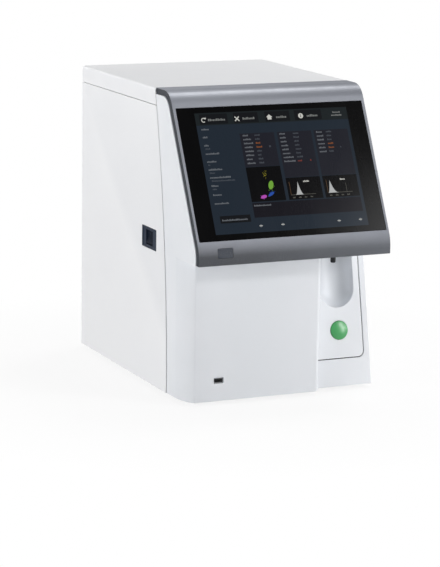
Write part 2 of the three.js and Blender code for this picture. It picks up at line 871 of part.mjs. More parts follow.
function buttonSwitchBody() {
  const front = -button.body - button.stem - button.travel - gap;
  const centre = [scoopX, upFace(buttonZ)];
  const width = 2 * (buttonLip + 2 * gap + buttonSwitch.post);
  const plate = box(about(centre[0], width), about(centre[1], buttonSwitch.height), [
    front - sheet,
    front,
  ]);
  const body = box(about(centre[0], buttonSwitch.height), about(centre[1], buttonSwitch.height), [
    front - sheet - buttonSwitch.body,
    front - sheet,
  ]);
  const reach = (width - buttonSwitch.post) / 2;
  const posts = [-reach, reach].map((side) =>
    box(about(centre[0] + side, buttonSwitch.post), about(centre[1], buttonSwitch.height), [
      front,
      -fascia.thickness - gap,
    ]),
  );
  return union(plate, body, posts);
}

function bezelFrame() {
  const half = casingHalf - bezel.step;
  const band = (from, to, width, floor) => {
    const rear = seamSweep + seamLine;
    const outline = [...headPath(from, rear, floor), ...headPath(to, rear, floor).reverse()];
    return narrowed(prism(outline, about(0, 2 * width), alongX));
  };
  const around = box(
    about(0, caseWidth),
    about(0, glass.height + 2 * bezel.solidMargin),
    about(0, caseHeight),
  );
  const hollow = cut(
    band(bezel.skin, bezel.depth + overrun, half - bezel.skin, chinZ + bezel.skin),
    placed(around, screen),
  );
  const glassSeat = placed(
    box(
      about(0, glass.width + 2 * gap),
      about(0, glass.height + 2 * gap),
      [-glass.thickness - gap, overrun],
    ),
    screen,
  );
  const window = placed(
    box(about(0, windowWide), about(0, windowTall), [-casingInset - overrun, overrun]),
    screen,
  );
  const readerPocket = placed(
    box(about(0, reader.width + 2 * gap), about(0, reader.height + 2 * gap), [
      -reader.thickness - gap,
      moulded,
    ]),
    readerFrame,
  );
  const whole = band(0, bezel.depth, half, chinZ);
  return cut(whole, hollow, glassSeat, window, readerPocket, behindSeam(0));
}

// The reader window lies on the chord of the chin's curve at its height
const readerFrame = new THREE.Group();
const readerZ = chinZ + reader.rise;
const readerTilt = Math.asin((readerZ - chinCentre[1]) / head.chinRadius);
readerFrame.rotation.x = Math.PI / 2 - readerTilt;
readerFrame.position.set(
  -halfWidth + reader.fromSide,
  chinCentre[0] - (head.chinRadius - reader.proud) * Math.cos(readerTilt),
  chinCentre[1] + (head.chinRadius - reader.proud) * Math.sin(readerTilt),
);
readerFrame.updateMatrix();
casing.add(readerFrame);

// Small fittings
const usbX = -halfWidth + usb.fromSide;
const switchLong = powerSwitch.pocketLong + 2 * switchRim.long;
const switchTall = powerSwitch.pocketTall + 2 * switchRim.tall;

function usbPort() {
  const front = -block.front + gap;
  const shell = box(about(usbX, usb.width), [front, front + usb.depth], about(usb.z, usb.height));
  const hollow = box(
    about(usbX, usb.width - 2 * usb.wall),
    [front - overrun, front + usb.depth - overrun],
    about(usb.z, usb.height - 2 * usb.wall),
  );
  const tongue = box(
    about(usbX, usb.width - usb.height / 2),
    [front + usb.wall, front + usb.depth - overrun / 2],
    about(usb.z + usb.tongue / 2, usb.tongue),
  );
  return union(cut(shell, hollow), tongue);
}

function switchFrame() {
  const x = [-halfWidth, -halfWidth + powerSwitch.depth];
  const body = box(x, about(powerSwitch.y, switchLong), about(powerSwitch.z, switchTall));
  const pocket = box(
    [x[0] - overrun, x[0] + powerSwitch.pocketDepth],
    about(powerSwitch.y, powerSwitch.pocketLong),
    about(powerSwitch.z, powerSwitch.pocketTall),
  );
  return cut(body, pocket);
}

// The rocker about its pivot: outline of [outward, up] points, outward being -X
function switchRocker() {
  const up = powerSwitch.pocketTall / 2 - rocker.endGap;
  const outline = [
    [-rocker.pivot, up],
    [-rocker.pivot + rocker.notch, 0],
    [-rocker.pivot, -up],
    [-rocker.pivot + rocker.thickness / 2, -up],
    [-rocker.pivot + rocker.thickness, -up / 2],
    [-rocker.pivot + rocker.thickness, up / 2],
    [-rocker.pivot + rocker.thickness / 2, up],
  ];
  const swapped = outline.map(([x, z]) => [z, x]);
  return prismY(swapped, about(0, powerSwitch.pocketLong - 2 * rocker.sideGap));
}

function foot() {
  const profile = [
    [0, footRecess.depth],
    [footRecess.radius, footRecess.depth],
    [footRecess.radius, 0],
    [footRadius - sheet, 0],
    [footRadius, sheet],
    [footRadius, footHeight - gap],
    [0, footHeight - gap],
  ];
  return lathe(profile, [0, 0], circleSides);
}

// Optics and fluidics
const floorTop = sheet + gap;
const chamberX = -halfWidth + chamber.fromSide;
const chamberY = seamLine + chamber.radius + moulded + chamber.clear;
const legY = [
  chamberY + chamber.radius + moulded + bench.clear + bench.leg,
  rearInside - bench.fromRear - bench.legInset,
];
const benchX = [-halfWidth + bench.fromSide, bulkheadX - bench.fromBulkhead];
const benchY = [legY[0] - bench.legInset, legY[1] + bench.legInset];

function opticalBench() {
  const plate = box(benchX, benchY, [bench.z, bench.z + bench.thick]);
  const legs = [benchX[0] + bench.legInset, benchX[1] - bench.legInset].flatMap((x) =>
    legY.map((y) =>
      prismZ(circle([x, y], bench.leg, smallSides), [floorTop, bench.z + bench.thick / 2]),
    ),
  );
  return union(plate, legs);
}

// The beam runs back from the laser through the flow cell to the detector
const benchTop = bench.z + bench.thick + gap;
const beamX = (benchX[0] + benchX[1]) / 2;
const beamZ = benchTop + laser.tall / 2;
const laserY = [benchY[0] + bench.legInset, benchY[0] + bench.legInset + laser.long];
const cellY = laserY[1] + laser.snout + beamGap + flowCell.width / 2;
const detectorY = cellY + flowCell.width / 2 + beamGap + detector.snout;

function laserModule() {
  const body = box(about(beamX, laser.wide), laserY, [benchTop, benchTop + laser.tall]);
  const snout = prismY(circle([beamZ, beamX], laser.snoutRadius, smallSides), [
    laserY[1] - overrun,
    laserY[1] + laser.snout,
  ]);
  return union(body, snout);
}

function flowCellBlock() {
  const centre = [beamX, cellY];
  const top = benchTop + flowCell.tall;
  const body = box(about(beamX, flowCell.width), about(cellY, flowCell.width), [benchTop, top]);
  const spout = prismZ(circle(centre, flowCell.spout, smallSides), [top - overrun, top + flowCell.spout]);
  const bore = prismZ(circle(centre, flowCell.bore, smallSides), [
    benchTop + flowCell.tall / 2,
    top + flowCell.spout + overrun,
  ]);
  return cut(union(body, spout), bore);
}

function scatterDetector() {
  const body = box(about(beamX, detector.wide), [detectorY, detectorY + detector.long], [
    benchTop,
    benchTop + detector.tall,
  ]);
  const snout = prismY(circle([beamZ, beamX], detector.snoutRadius, smallSides), [
    detectorY - detector.snout,
    detectorY + overrun,
  ]);
  return union(body, snout);
}

function countingBath() {
  const centre = [scoopX, sleeveY + traverseTravel];
  const half = bath.bore + bath.wall;
  const rim = chinZ - bath.drop;
  const z = [rim - bath.tall, rim];
  const body = box(about(centre[0], 2 * half), about(centre[1], 2 * half), z);
  const bore = prismZ(circle(centre, bath.bore), [z[0] + bath.drain, z[1] + overrun]);
  const drain = prismZ(circle(centre, bath.drain, smallSides), [z[0] - bath.armTall, z[0] + overrun]);
  const arm = box(
    [plateRight + gap, scoopX - bath.bore - bath.wall / 2],
    about(centre[1], bath.armWide),
    about((z[0] + z[1]) / 2, bath.armTall),
  );
  return union(cut(union(body, arm), bore), drain);
}

// The syringe hangs on the bulkhead's left face, over the actuator that draws its plunger down
const syringeX = bulkheadX - gap;
const syringeAxis = [bulkheadX - syringe.fromBulkhead, bulkheadY[0] - syringe.inset];
const syringeZ = [syringe.z, syringe.z + syringe.long];
const syringeTravel = syringe.long - syringe.headTall - 2 * syringe.cap;
const footTop = syringe.z - syringe.footDrop;
const actuatorTop = footTop - syringe.footTall - syringeTravel - gap;
const actuatorZ = [actuatorTop - actuator.tall, actuatorTop];

function aroundSyringe(width, z) {
  return box(about(syringeAxis[0], width), about(syringeAxis[1], width), z);
}

function syringeBody() {
  const half = syringe.radius + syringe.wall + moulded;
  const low = actuatorZ[0] - gap - syringe.shelf;
  const shelfZ = [low, low + syringe.shelf];
  const capZ = [syringeZ[1], syringeZ[1] + syringe.cap];
  const collarZ = [syringeZ[0], syringeZ[0] + syringe.cap];
  const barrel = prismZ(circle(syringeAxis, syringe.radius + syringe.wall), syringeZ);
  const cap = aroundSyringe(2 * half, [capZ[0] - overrun, capZ[1]]);
  const collar = aroundSyringe(2 * half, collarZ);
  const shelf = aroundSyringe(actuator.width, shelfZ);
  const plateY = [bulkheadY[0], bulkheadY[0] + 2 * half + moulded];
  const plate = box([syringeX - moulded, syringeX], plateY, [low, capZ[1]]);
  const armY = [bulkheadY[0], bulkheadY[0] + half];
  const arms = [shelfZ, collarZ, capZ].map((z) => box([syringeAxis[0], syringeX], armY, z));
  const bore = prismZ(circle(syringeAxis, syringe.radius), [collarZ[0] - overrun, capZ[0] - overrun]);
  const rodHole = prismZ(circle(syringeAxis, actuator.rodRadius + gap, smallSides), [
    low - overrun,
    actuatorTop,
  ]);
  return cut(union(barrel, cap, collar, shelf, plate, arms), bore, rodHole);
}

function syringeActuator() {
  const bore = prismZ(circle(syringeAxis, actuator.rodRadius + gap, smallSides), [
    actuatorZ[0] - overrun,
    actuatorZ[1] + overrun,
  ]);
  return cut(aroundSyringe(actuator.width, actuatorZ), bore);
}

function syringePlunger() {
  const top = syringeZ[1] - 2 * overrun;
  const footZ = [footTop - syringe.footTall, footTop];
  return union(
    prismZ(circle(syringeAxis, syringe.radius - gap), [top - syringe.headTall, top]),
    prismZ(circle(syringeAxis, syringe.rodRadius, smallSides), [footZ[0], top - gap]),
    aroundSyringe(2 * syringe.radius, footZ),
    prismZ(circle(syringeAxis, actuator.rodRadius, smallSides), [actuatorTop - actuator.engaged, footZ[1]]),
  );
}

function valveManifold() {
  const right = bulkheadX - bulkhead.foot - manifold.clear;
  const x = [right - manifold.wide, right];
  const z = [floorTop, floorTop + manifold.tall];
  const pitch = manifold.long / manifold.valves;
  const valves = Array.from({ length: manifold.valves }, (_, i) => {
    const y = manifold.front + i * pitch + pitch / 2;
    return prismZ(circle([(x[0] + x[1]) / 2, y], manifold.valveRadius, smallSides), [
      z[1] - overrun,
      z[1] + manifold.valve,
    ]);
  });
  return union(box(x, [manifold.front, manifold.front + manifold.long], z), valves);
}

function wasteChamber() {
  const rim = floorTop + chamber.tall;
  const lid = rim + chamber.lid;
  const spout = lid + chamber.lid;
  const profile = [
    [0, floorTop],
    [chamber.radius, floorTop],
    [chamber.radius, rim],
    [chamber.radius + moulded, rim],
    [chamber.radius + moulded, lid],
    [chamber.spoutRadius, lid],
    [chamber.spoutRadius, spout],
    [chamber.spoutRadius - sheet, spout],
    [chamber.spoutRadius - sheet, rim],
    [chamber.radius - chamber.wall, rim],
    [chamber.radius - chamber.wall, floorTop + chamber.wall],
    [0, floorTop + chamber.wall],
  ];
  return lathe(profile, [chamberX, chamberY], circleSides);
}

function pressurePump() {
  const right = halfWidth - pump.fromSide;
  const rear = rearInside - pump.fromRear;
  const x = [right - pump.wide, right];
  const body = box(x, [rear - pump.long, rear], [floorTop, floorTop + pump.tall]);
  const top = box(x, [rear - pump.long, rear - pump.long + pump.headLong], [
    floorTop,
    floorTop + pump.headTall,
  ]);
  return union(body, top);
}

function powerSupply() {
  const left = -halfWidth + supply.fromSide;
  const rear = legY[1] - bench.leg - supply.clear;
  const x = [left, left + supply.wide];
  const y = [rear - supply.long, rear];
  const z = [floorTop, floorTop + supply.tall];
  const hollow = box([x[0] + sheet, x[1] - sheet], [y[0] + sheet, y[1] - sheet], [
    z[0] + sheet,
    z[1] - sheet,
  ]);
  const pitch = supply.long / (supply.rows + 1);
  const slots = Array.from({ length: supply.rows }, (_, i) =>
    box([x[0] + supply.slotInset, x[1] - supply.slotInset], about(y[0] + (i + 1) * pitch, supply.slot), [
      z[1] - overrun,
      z[1] + overrun,
    ]),
  );
  return cut(box(x, y, z), hollow, slots);
}

function mainBoard() {
  const right = bulkheadX - gap - board.off;
  const x = [right - board.thick, right];
  const y = [board.front, bulkheadY[1] - board.fromRear];
  const top = traverseBeltZ - motor.width / 2 - board.clear;
  const z = [top - board.tall, top];
  const long = y[1] - y[0];
  const posts = [y[0] + 2 * board.post, y[1] - 2 * board.post].flatMap((py) =>
    [z[0] + 2 * board.post, z[1] - 2 * board.post].map((pz) =>
      prismX(circle([py, pz], board.post, smallSides), [x[0], bulkheadX - gap]),
    ),
  );
  const chips = boardChipShares.map(({ at, up, size }) =>
    box(
      [x[0] - board.chipTall, x[0]],
      about(y[0] + at * long, size * board.tall),
      about(z[0] + up * board.tall, size * board.tall),
    ),
  );
  return union(box(x, y, z), posts, chips);
}

// Back of the casing
const fanX = -halfWidth + fan.fromSide;
const fanZ = coverSeam - fan.drop;
const fanBore = fan.width / 2 - fan.wall;
const fanY = [rearInside - fan.depth, rearInside];
const inletX = -halfWidth + inlet.fromSide;
const inletBodyWide = inlet.holeWide + 2 * inlet.wallSide;
const inletBodyTall = inlet.holeTall + 2 * inlet.wallTop;
const portPlaces = [-1, 0, 1].map((i) => halfWidth - port.fromSide + i * port.pitch);

function fanFrame() {
  const centre = [fanZ, fanX];
  const backY = [fanY[0], fanY[0] + fan.plate];
  const body = box(about(fanX, fan.width), fanY, about(fanZ, fan.width));
  const bore = prismY(circle(centre, fanBore), [fanY[0] - overrun, fanY[1] + overrun]);
  const spider = union(
    prismY(circle(centre, fan.hub), backY),
    box(about(fanX, fan.width - fan.wall), backY, about(fanZ, fan.strut)),
    box(about(fanX, fan.strut), backY, about(fanZ, fan.width - fan.wall)),
  );
  return union(cut(body, bore), spider);
}

function fanRotor() {
  const y = [fanY[0] + fan.plate + gap, fanY[1] - fan.inset];
  const bladeY = [y[0] + fan.bladeThick, y[1] - fan.bladeThick];
  const reach = fanBore - fan.tipGap;
  const hub = prismY(circle([fanZ, fanX], fan.hub), y);
  const blades = Array.from({ length: fan.blades }, (_, i) => {
    const blade = new THREE.BoxGeometry(fan.bladeThick, bladeY[1] - bladeY[0], reach - fan.hub / 2);
    blade.rotateZ(radians(fan.bladeTurn));
    blade.translate(0, 0, (reach + fan.hub / 2) / 2);
    blade.rotateY((2 * Math.PI * i) / fan.blades);
    blade.translate(fanX, (bladeY[0] + bladeY[1]) / 2, fanZ);
    return solid(blade);
  });
  const sweep = prismY(circle([fanZ, fanX], reach), bladeY);
  return union(hub, union(...blades).intersect(sweep));
}

function fanGuard() {
  const y = [caseRear + gap, caseRear + gap + guard.wire];
  const centre = [fanZ, fanX];
  const step = (fanBore - guard.hub) / guard.rings;
  const rings = Array.from({ length: guard.rings + 1 }, (_, i) => {
    const radius = guard.hub + i * step;
    return prismY(circle(centre, radius + guard.wire), y, [circle(centre, radius)]);
  });
  const reach = 2 * fanBore + guard.wire;
  const bars = [
    box(about(fanX, reach), y, about(fanZ, guard.wire)),
    box(about(fanX, guard.wire), y, about(fanZ, reach)),
  ];
  return union(...rings, ...bars);
}

function mainsInlet() {
  const flangeY = [caseRear + gap, caseRear + gap + inlet.flange];
  const floorY = flangeY[1] - inlet.holeDepth;
  const flange = box(
    about(inletX, inletBodyWide + 2 * inlet.flangeSide),
    flangeY,
    about(inlet.z, inletBodyTall + 2 * inlet.flangeTop),
  );
  const body = box(
    about(inletX, inletBodyWide),
    [floorY - inlet.floor, flangeY[0] + gap],
    about(inlet.z, inletBodyTall),
  );
  const hole = box(
    about(inletX, inlet.holeWide),
    [floorY, flangeY[1] + overrun],
    about(inlet.z, inlet.holeTall),
  );
  const pins = [-1, 0, 1].map((i) =>
    box(
      about(inletX + i * inlet.pinPitch, inlet.pinThick),
      [floorY - overrun, flangeY[1] - inlet.pinSunk],
      about(inlet.z + (i === 0 ? inlet.pinShift : -inlet.pinShift), inlet.pinWide),
    ),
  );
  return union(cut(union(flange, body), hole), pins);
}

function portFitting(x) {
  const out = caseRear + gap;
  const tail = rearInside - gap - port.tail;
  const tip = caseRear + port.reach;
  const profile = [
    [port.bore, tail],
    [port.barb, tail],
    [port.barb, out],
    [port.radius, out],
    [port.radius, out + port.flange],
    [port.barb, out + port.flange],
    [port.barb - sheet / 2, tip],
    [port.bore, tip],
    [port.bore, tail],
  ];
  const points = profile.map(([r, y]) => new THREE.Vector2(r, y));
  const geometry = new THREE.LatheGeometry(points, smallSides);
  geometry.translate(x, 0, port.z);
  return solid(geometry);
}

// Assembly
piece("base_tray", baseTray(), "zincSteel");
piece("centre_bulkhead", centreBulkhead(), "zincSteel");
piece("left_side_panel", leftSidePanel(), "whiteSteel");
piece("right_side_panel", sidePanel(1), "whiteSteel");
piece("rear_panel", rearPanel(), "whiteSteel");
piece("top_cover", topCover(), "whiteSteel");
piece("front_casing", frontCasing(), "whitePlastic");
piece("bezel_frame", bezelFrame(), "greyPlastic");
piece("sampling_fascia", samplingFascia(), "whitePlastic");
piece("wash_sleeve", washSleeve(), "blackPlastic");

const glassFront = -gap / 2;
const moduleFront = glassFront - glass.thickness - gap;
const moduleBack = -casingInset - moulded;
piece(
  "screen_glass",
  box(about(0, glass.width), about(0, glass.height), [glassFront - glass.thickness, glassFront]),
  "blackGlass",
  screen,
);
piece(
  "display_module",
  box(about(0, moduleWide), about(0, windowTall - 2 * gap), [moduleBack, moduleFront]),
  "zincSteel",
  screen,
);

function screenBracket() {
  const z = [moduleBack - gap - sheet, moduleBack - gap];
  const plate = box(
    about(0, windowWide + 2 * screenPlate.margin),
    about(0, windowTall + 2 * screenPlate.margin),
    z,
  );
  const window = box(about(0, moduleWide - 2 * screenPlate.rim), about(0, windowTall / 2), [
    z[0] - overrun,
    z[1] + overrun,
  ]);
  return cut(plate, window);
}

piece("screen_bracket", screenBracket(), "zincSteel", screen);
piece(
  "reader_window",
  box(about(0, reader.width), about(0, reader.height), [-reader.thickness, 0]),
  "darkPlastic",
  readerFrame,
);

const buttonMesh = piece("start_button", startButton(), "greenPlastic", faceFrame);
buttonMesh.position.set(scoopX, upFace(buttonZ), 0);
piece("button_switch", buttonSwitchBody(), "blackPlastic", faceFrame);
piece("usb_port", usbPort(), "stainless");
piece("switch_frame", switchFrame(), "darkPlastic");
const rockerMesh = piece("switch_rocker", switchRocker(), "blackPlastic");
rockerMesh.position.set(-halfWidth + rocker.sunk + rocker.pivot, powerSwitch.y, powerSwitch.z);
rockerMesh.rotation.y = radians(rocker.tilt);

const footNames = ["front_left", "front_right", "rear_left", "rear_right"];
footNames.forEach((name, i) => {
  const mesh = piece("foot_" + name, foot(), "rubber");
  const x = (i % 2 === 0 ? -1 : 1) * (halfWidth - footInset);
  const y = i < 2 ? footInset : caseRear - footInset;
  mesh.position.set(x, y, -footHeight);
});

piece(
  "traverse_rail",
  box(
    [plateRight + gap, plateRight + gap + traverse.railThick],
    railY,
    about(traverseRailZ, traverse.railTall),
  ),
  "stainless",
);
const traverseEnds = [
  [traverseIdlerY, traverseBeltZ],
  [traversePulleyY, traverseBeltZ],
];
const traverseMotor = motorBody(traversePulleyY, traverseBeltZ, bulkheadX - gap, beltX[1]);
const shaftBore = motor.shaftRadius + gap;
const pinBore = drive.pinRadius + gap;
piece("traverse_block", traverseBlock(), "aluminium");
piece("traverse_motor", traverseMotor, "blackPlastic");
piece("traverse_pulley", pulley(traversePulleyY, traverseBeltZ, beltX, shaftBore), "aluminium");
piece("traverse_idler", pulley(traverseIdlerY, traverseBeltZ, beltX, pinBore), "aluminium");
piece("traverse_belt", belt(traverseEnds, beltX), "rubber");

const liftEnds = [
  [liftPulleyY, liftIdlerZ],
  [liftPulleyY, liftMotorZ],
];
const liftMotor = motorBody(liftPulleyY, liftMotorZ, liftPlate[0] - gap, liftBeltX[1]);
piece("lift_carrier", liftCarrier(), "aluminium");
piece(
  "lift_rail",
  box(
    [liftPlate[1] + gap, liftPlate[1] + gap + lift.railThick],
    about(liftRailY, lift.railWide),
    liftRailZ,
  ),
  "stainless",
);
piece("lift_motor", liftMotor, "blackPlastic");
piece("lift_pulley", pulley(liftPulleyY, liftMotorZ, liftBeltX, shaftBore), "aluminium");
piece("lift_idler", pulley(liftPulleyY, liftIdlerZ, liftBeltX, pinBore), "aluminium");
piece("lift_belt", belt(liftEnds, liftBeltX), "rubber");
piece("lift_block", liftBlock(), "aluminium");
piece("sample_probe", sampleProbe(), "stainless");
piece("counting_bath", countingBath(), "clearPlastic");

piece("optical_bench", opticalBench(), "aluminium");
piece("laser_module", laserModule(), "blackPlastic");
piece("flow_cell", flowCellBlock(), "clearPlastic");
piece("scatter_detector", scatterDetector(), "blackPlastic");
piece("syringe_body", syringeBody(), "clearPlastic");
piece("syringe_plunger", syringePlunger(), "darkPlastic");
piece("syringe_actuator", syringeActuator(), "blackPlastic");
piece("valve_manifold", valveManifold(), "clearPlastic");
piece("waste_chamber", wasteChamber(), "clearPlastic");
piece("pressure_pump", pressurePump(), "blackPlastic");
piece("power_supply", powerSupply(), "zincSteel");
piece("main_board", mainBoard(), "circuit");

piece("fan_frame", fanFrame(), "blackPlastic");
piece("fan_rotor", fanRotor(), "blackPlastic");
piece("fan_guard", fanGuard(), "stainless");
piece("mains_inlet", mainsInlet(), "blackPlastic");
["waste_port", "lyse_port", "diluent_port"].forEach((name, i) => {
  piece(name, portFitting(portPlaces[i]), "clearPlastic");
});

// The origin is on the ground, at the middle of the footprint
casing.position.set(0, -centreDepth, footHeight);

export default analyzer;
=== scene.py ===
import math

import bmesh
import bpy
import numpy as np
from mathutils import Matrix, Vector


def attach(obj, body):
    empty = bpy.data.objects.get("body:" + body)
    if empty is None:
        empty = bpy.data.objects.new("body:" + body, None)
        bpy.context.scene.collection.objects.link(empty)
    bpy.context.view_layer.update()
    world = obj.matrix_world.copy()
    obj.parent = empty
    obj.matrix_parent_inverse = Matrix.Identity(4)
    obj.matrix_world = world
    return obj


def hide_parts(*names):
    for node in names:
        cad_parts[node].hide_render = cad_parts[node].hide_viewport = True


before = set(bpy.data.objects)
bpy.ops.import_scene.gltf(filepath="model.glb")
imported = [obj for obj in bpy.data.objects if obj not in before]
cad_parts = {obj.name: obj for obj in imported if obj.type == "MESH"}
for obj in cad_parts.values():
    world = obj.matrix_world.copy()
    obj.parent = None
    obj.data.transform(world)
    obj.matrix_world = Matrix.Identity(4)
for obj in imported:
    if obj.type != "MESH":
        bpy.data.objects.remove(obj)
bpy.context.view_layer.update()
print("frame loaded:", len(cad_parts), "nodes")

# Lengths are in millimetres, from the casing's bottom edge and the foot of the side seam.
# caseShift carries them to the ground under the middle of the whole object.
caseShift = np.array([0.0, -126.15, 6.0])
beyond = 2.0  # how far a cutter runs past the face it opens
clear = 9.0  # the same where there is room for more
point = 1e-4  # the radius of a corner that stays sharp

case = {
    "halfWidth": 157.5,
    "rear": 345.5,
    "coverDrop": 25.0,
    "coverEdge": 4.0,
    "sheet": 1.5,
    "gap": 0.3,
    "seamSweep": 52.0,
    "seamLine": 0.6,
    "sideLine": 0.4,
    "wall": 3.0,
    "edge": 0.5,
}
head = {
    "lean": math.radians(26.9),
    "front": 105.2,
    "chin": 208.5,
    "bend": 229.4,
    "slope": 242.88,
    "topRadius": 32.0,
    "chinRadius": 50.0,
    "draft": 2.0,
}
block = {
    "front": 70.0,
    "right": 60.0,
    "cornerStart": 28.0,
    "cornerWide": 30.0,
    "cornerTurn": math.radians(57.14),
    "edge": 7.0,
    "crease": 3.0,
    "step": 0.45,
}
leaning = {"foot": 55.3, "lean": math.radians(11.3)}

caseHeight = head["bend"] + head["slope"] * math.cos(head["lean"])
coverSeam = caseHeight - case["coverDrop"]
casingHalf = case["halfWidth"] - block["step"]
seamFar = case["seamSweep"] + beyond
chinMiddle = [
    -head["front"] + head["chinRadius"],
    head["bend"] - head["chinRadius"] * math.tan(head["lean"] / 2),
]


def linked(name, data):
    thing = bpy.data.objects.new(name, data)
    bpy.context.scene.collection.objects.link(thing)
    return thing


# The camera, at the photograph's viewing angle
view = {
    "yaw": math.radians(-24.539),
    "pitch": math.radians(11.752),
    "roll": math.radians(0.912),
    "place": [-63.5, 150.5, 3510.1],  # across, up and back
    "focalPixels": 2338.55,
    "imageHeight": 567.0,
    "sensor": 36.0,
    "clip": [0.1, 50.0],
}


def makeCamera():
    yaw, pitch, roll = view["yaw"], view["pitch"], view["roll"]
    back = np.array([math.sin(yaw) * math.cos(pitch), -math.cos(yaw) * math.cos(pitch), math.sin(pitch)])
    right = np.array([math.cos(yaw), math.sin(yaw), 0.0])
    up = np.cross(back, right)
    axes = np.array([
        math.cos(roll) * right + math.sin(roll) * up,
        -math.sin(roll) * right + math.cos(roll) * up,
        back,
    ])
    data = bpy.data.cameras.new("photoCamera")
    data.sensor_width = view["sensor"]
    data.lens = view["sensor"] * view["focalPixels"] / view["imageHeight"]
    data.clip_start, data.clip_end = view["clip"]
    matrix = np.eye(4)
    matrix[:3, :3] = axes.T
    matrix[:3, 3] = (axes.T @ np.array(view["place"]) + caseShift) / 1000
    camera = linked("photoCamera", data)
    camera.matrix_world = Matrix(matrix.tolist())
    bpy.context.scene.camera = camera


makeCamera()
print("camera placed")


# Mesh tools


# An object from points in drawing millimetres and lists of corner numbers
def meshObject(name, points, faces):
    mesh = bpy.data.meshes.new(name)
    placed = (np.asarray(points, float).reshape(-1, 3) + caseShift) / 1000
    mesh.from_pydata(placed.tolist(), [], [list(map(int, face)) for face in faces])
    return tidied(linked(name, mesh))


# Doubled points become one, collapsed faces go, and the faces point outwards
def tidied(piece, flat=0.0):
    work = bmesh.new()
    work.from_mesh(piece.data)
    bmesh.ops.remove_doubles(work, verts=work.verts, dist=2e-6)
    bmesh.ops.dissolve_degenerate(work, edges=work.edges, dist=1e-7)
    if flat:
        bmesh.ops.dissolve_limit(work, verts=work.verts, edges=work.edges, angle_limit=flat)
    bmesh.ops.recalc_face_normals(work, faces=work.faces)
    work.to_mesh(piece.data)
    work.free()
    return piece


# The quads of a grid, whose rows or columns may close on themselves
def gridFaces(rows, columns, closeRows=False, closeColumns=False):
    i, j = np.meshgrid(
        np.arange(rows if closeRows else rows - 1),
        np.arange(columns if closeColumns else columns - 1),
        indexing="ij",
    )
    i2, j2 = (i + 1) % rows, (j + 1) % columns
    faces = [i * columns + j, i * columns + j2, i2 * columns + j2, i2 * columns + j]
    return np.stack(faces, -1).reshape(-1, 4)


# The faces of a tube of so many rings of so many points, with a flat face at either end
def tubeFaces(rings, count):
    last = (rings - 1) * count
    ends = [list(range(count))[::-1], list(range(last, last + count))]
    return gridFaces(rings, count, closeColumns=True).tolist() + ends


# A closed outline carried straight along axis 0, 1 or 2, with flat ends.
# The outline's two numbers are the places along the next two axes, in turn.
def prism(name, outline, axis, span, reshape=None):
    flat = np.asarray(outline, float)
    points = np.empty((2, len(flat), 3))
    points[:, :, axis] = np.asarray(span, float)[:, None]
    points[:, :, (axis + 1) % 3] = flat[:, 0]
    points[:, :, (axis + 2) % 3] = flat[:, 1]
    points = points.reshape(-1, 3)
    return meshObject(name, points if reshape is None else reshape(points), tubeFaces(2, len(flat)))


# A profile of [radius, height] turned about an upright axis: each point keeps its height and goes round
def turned(name, profile, centre=(0.0, 0.0), sides=96, closed=False, reshape=None):
    radius, height = np.asarray(profile, float).T
    angle = np.arange(sides) * 2 * math.pi / sides
    points = np.stack([
        centre[0] + radius[:, None] * np.cos(angle),
        centre[1] + radius[:, None] * np.sin(angle),
        height[:, None] + 0 * angle,
    ], -1).reshape(-1, 3)
    points = points if reshape is None else reshape(points)
    return meshObject(name, points, gridFaces(len(radius), sides, closed, True))


# An outline with each corner made an arc of its own radius, tangent to the sides that meet there
def rounded(outline, radius, steps=6):
    p = np.asarray(outline, float)
    r = np.broadcast_to(np.asarray(radius, float), len(p))[:, None]
    u, v = np.roll(p, 1, 0) - p, np.roll(p, -1, 0) - p
    u /= np.linalg.norm(u, axis=1)[:, None]
    v /= np.linalg.norm(v, axis=1)[:, None]
    half = np.arccos(np.clip((u * v).sum(1), -1, 1))[:, None] / 2
    inward = u + v
    inward /= np.maximum(np.linalg.norm(inward, axis=1)[:, None], 1e-9)
    centre = p + inward * r / np.sin(half)
    start, end = p + u * r / np.tan(half) - centre, p + v * r / np.tan(half) - centre
    first = np.arctan2(start[:, 1], start[:, 0])
    sweep = (np.arctan2(end[:, 1], end[:, 0]) - first + math.pi) % (2 * math.pi) - math.pi
    angle = first[:, None] + sweep[:, None] * np.linspace(0, 1, steps + 1)
    arcs = centre[:, None, :] + r[:, :, None] * np.stack([np.cos(angle), np.sin(angle)], -1)
    points = arcs.reshape(-1, 2)
    apart = np.linalg.norm(points - np.roll(points, 1, 0), axis=1) > 1e-6
    return points[apart]


# Points on an ellipse's arc: the centre plus each radius times the cosine and sine of the angle
def arc(centre, radii, start, end, steps):
    angle = np.radians(np.linspace(start, end, steps + 1))
    return np.stack([centre[0] + radii[0] * np.cos(angle), centre[1] + radii[1] * np.sin(angle)], -1)


def circle(middle, radius, sides=64):
    return arc(middle, [radius, radius], 0, 360 - 360 / sides, sides - 1)


def rectangle(middle, size):
    a, b = size[0] / 2, size[1] / 2
    return np.array([[-a, -b], [a, -b], [a, b], [-a, b]]) + np.asarray(middle, float)


def grown(size, extra):
    return [length + extra for length in size]


# A plate with rounded corners, a round plate and a box
def slab(name, size, corner, span, place=None, middle=(0, 0)):
    outline = rectangle(middle, size)
    return prism(name, rounded(outline, corner) if corner else outline, 2, span, place)


def disc(name, middle, radius, span, place=None, sides=64):
    return prism(name, circle(middle, radius, sides), 2, span, place)


def boxed(name, low, high, place=None):
    outline = [[low[0], low[1]], [high[0], low[1]], [high[0], high[1]], [low[0], high[1]]]
    return prism(name, outline, 2, [low[2], high[2]], place)


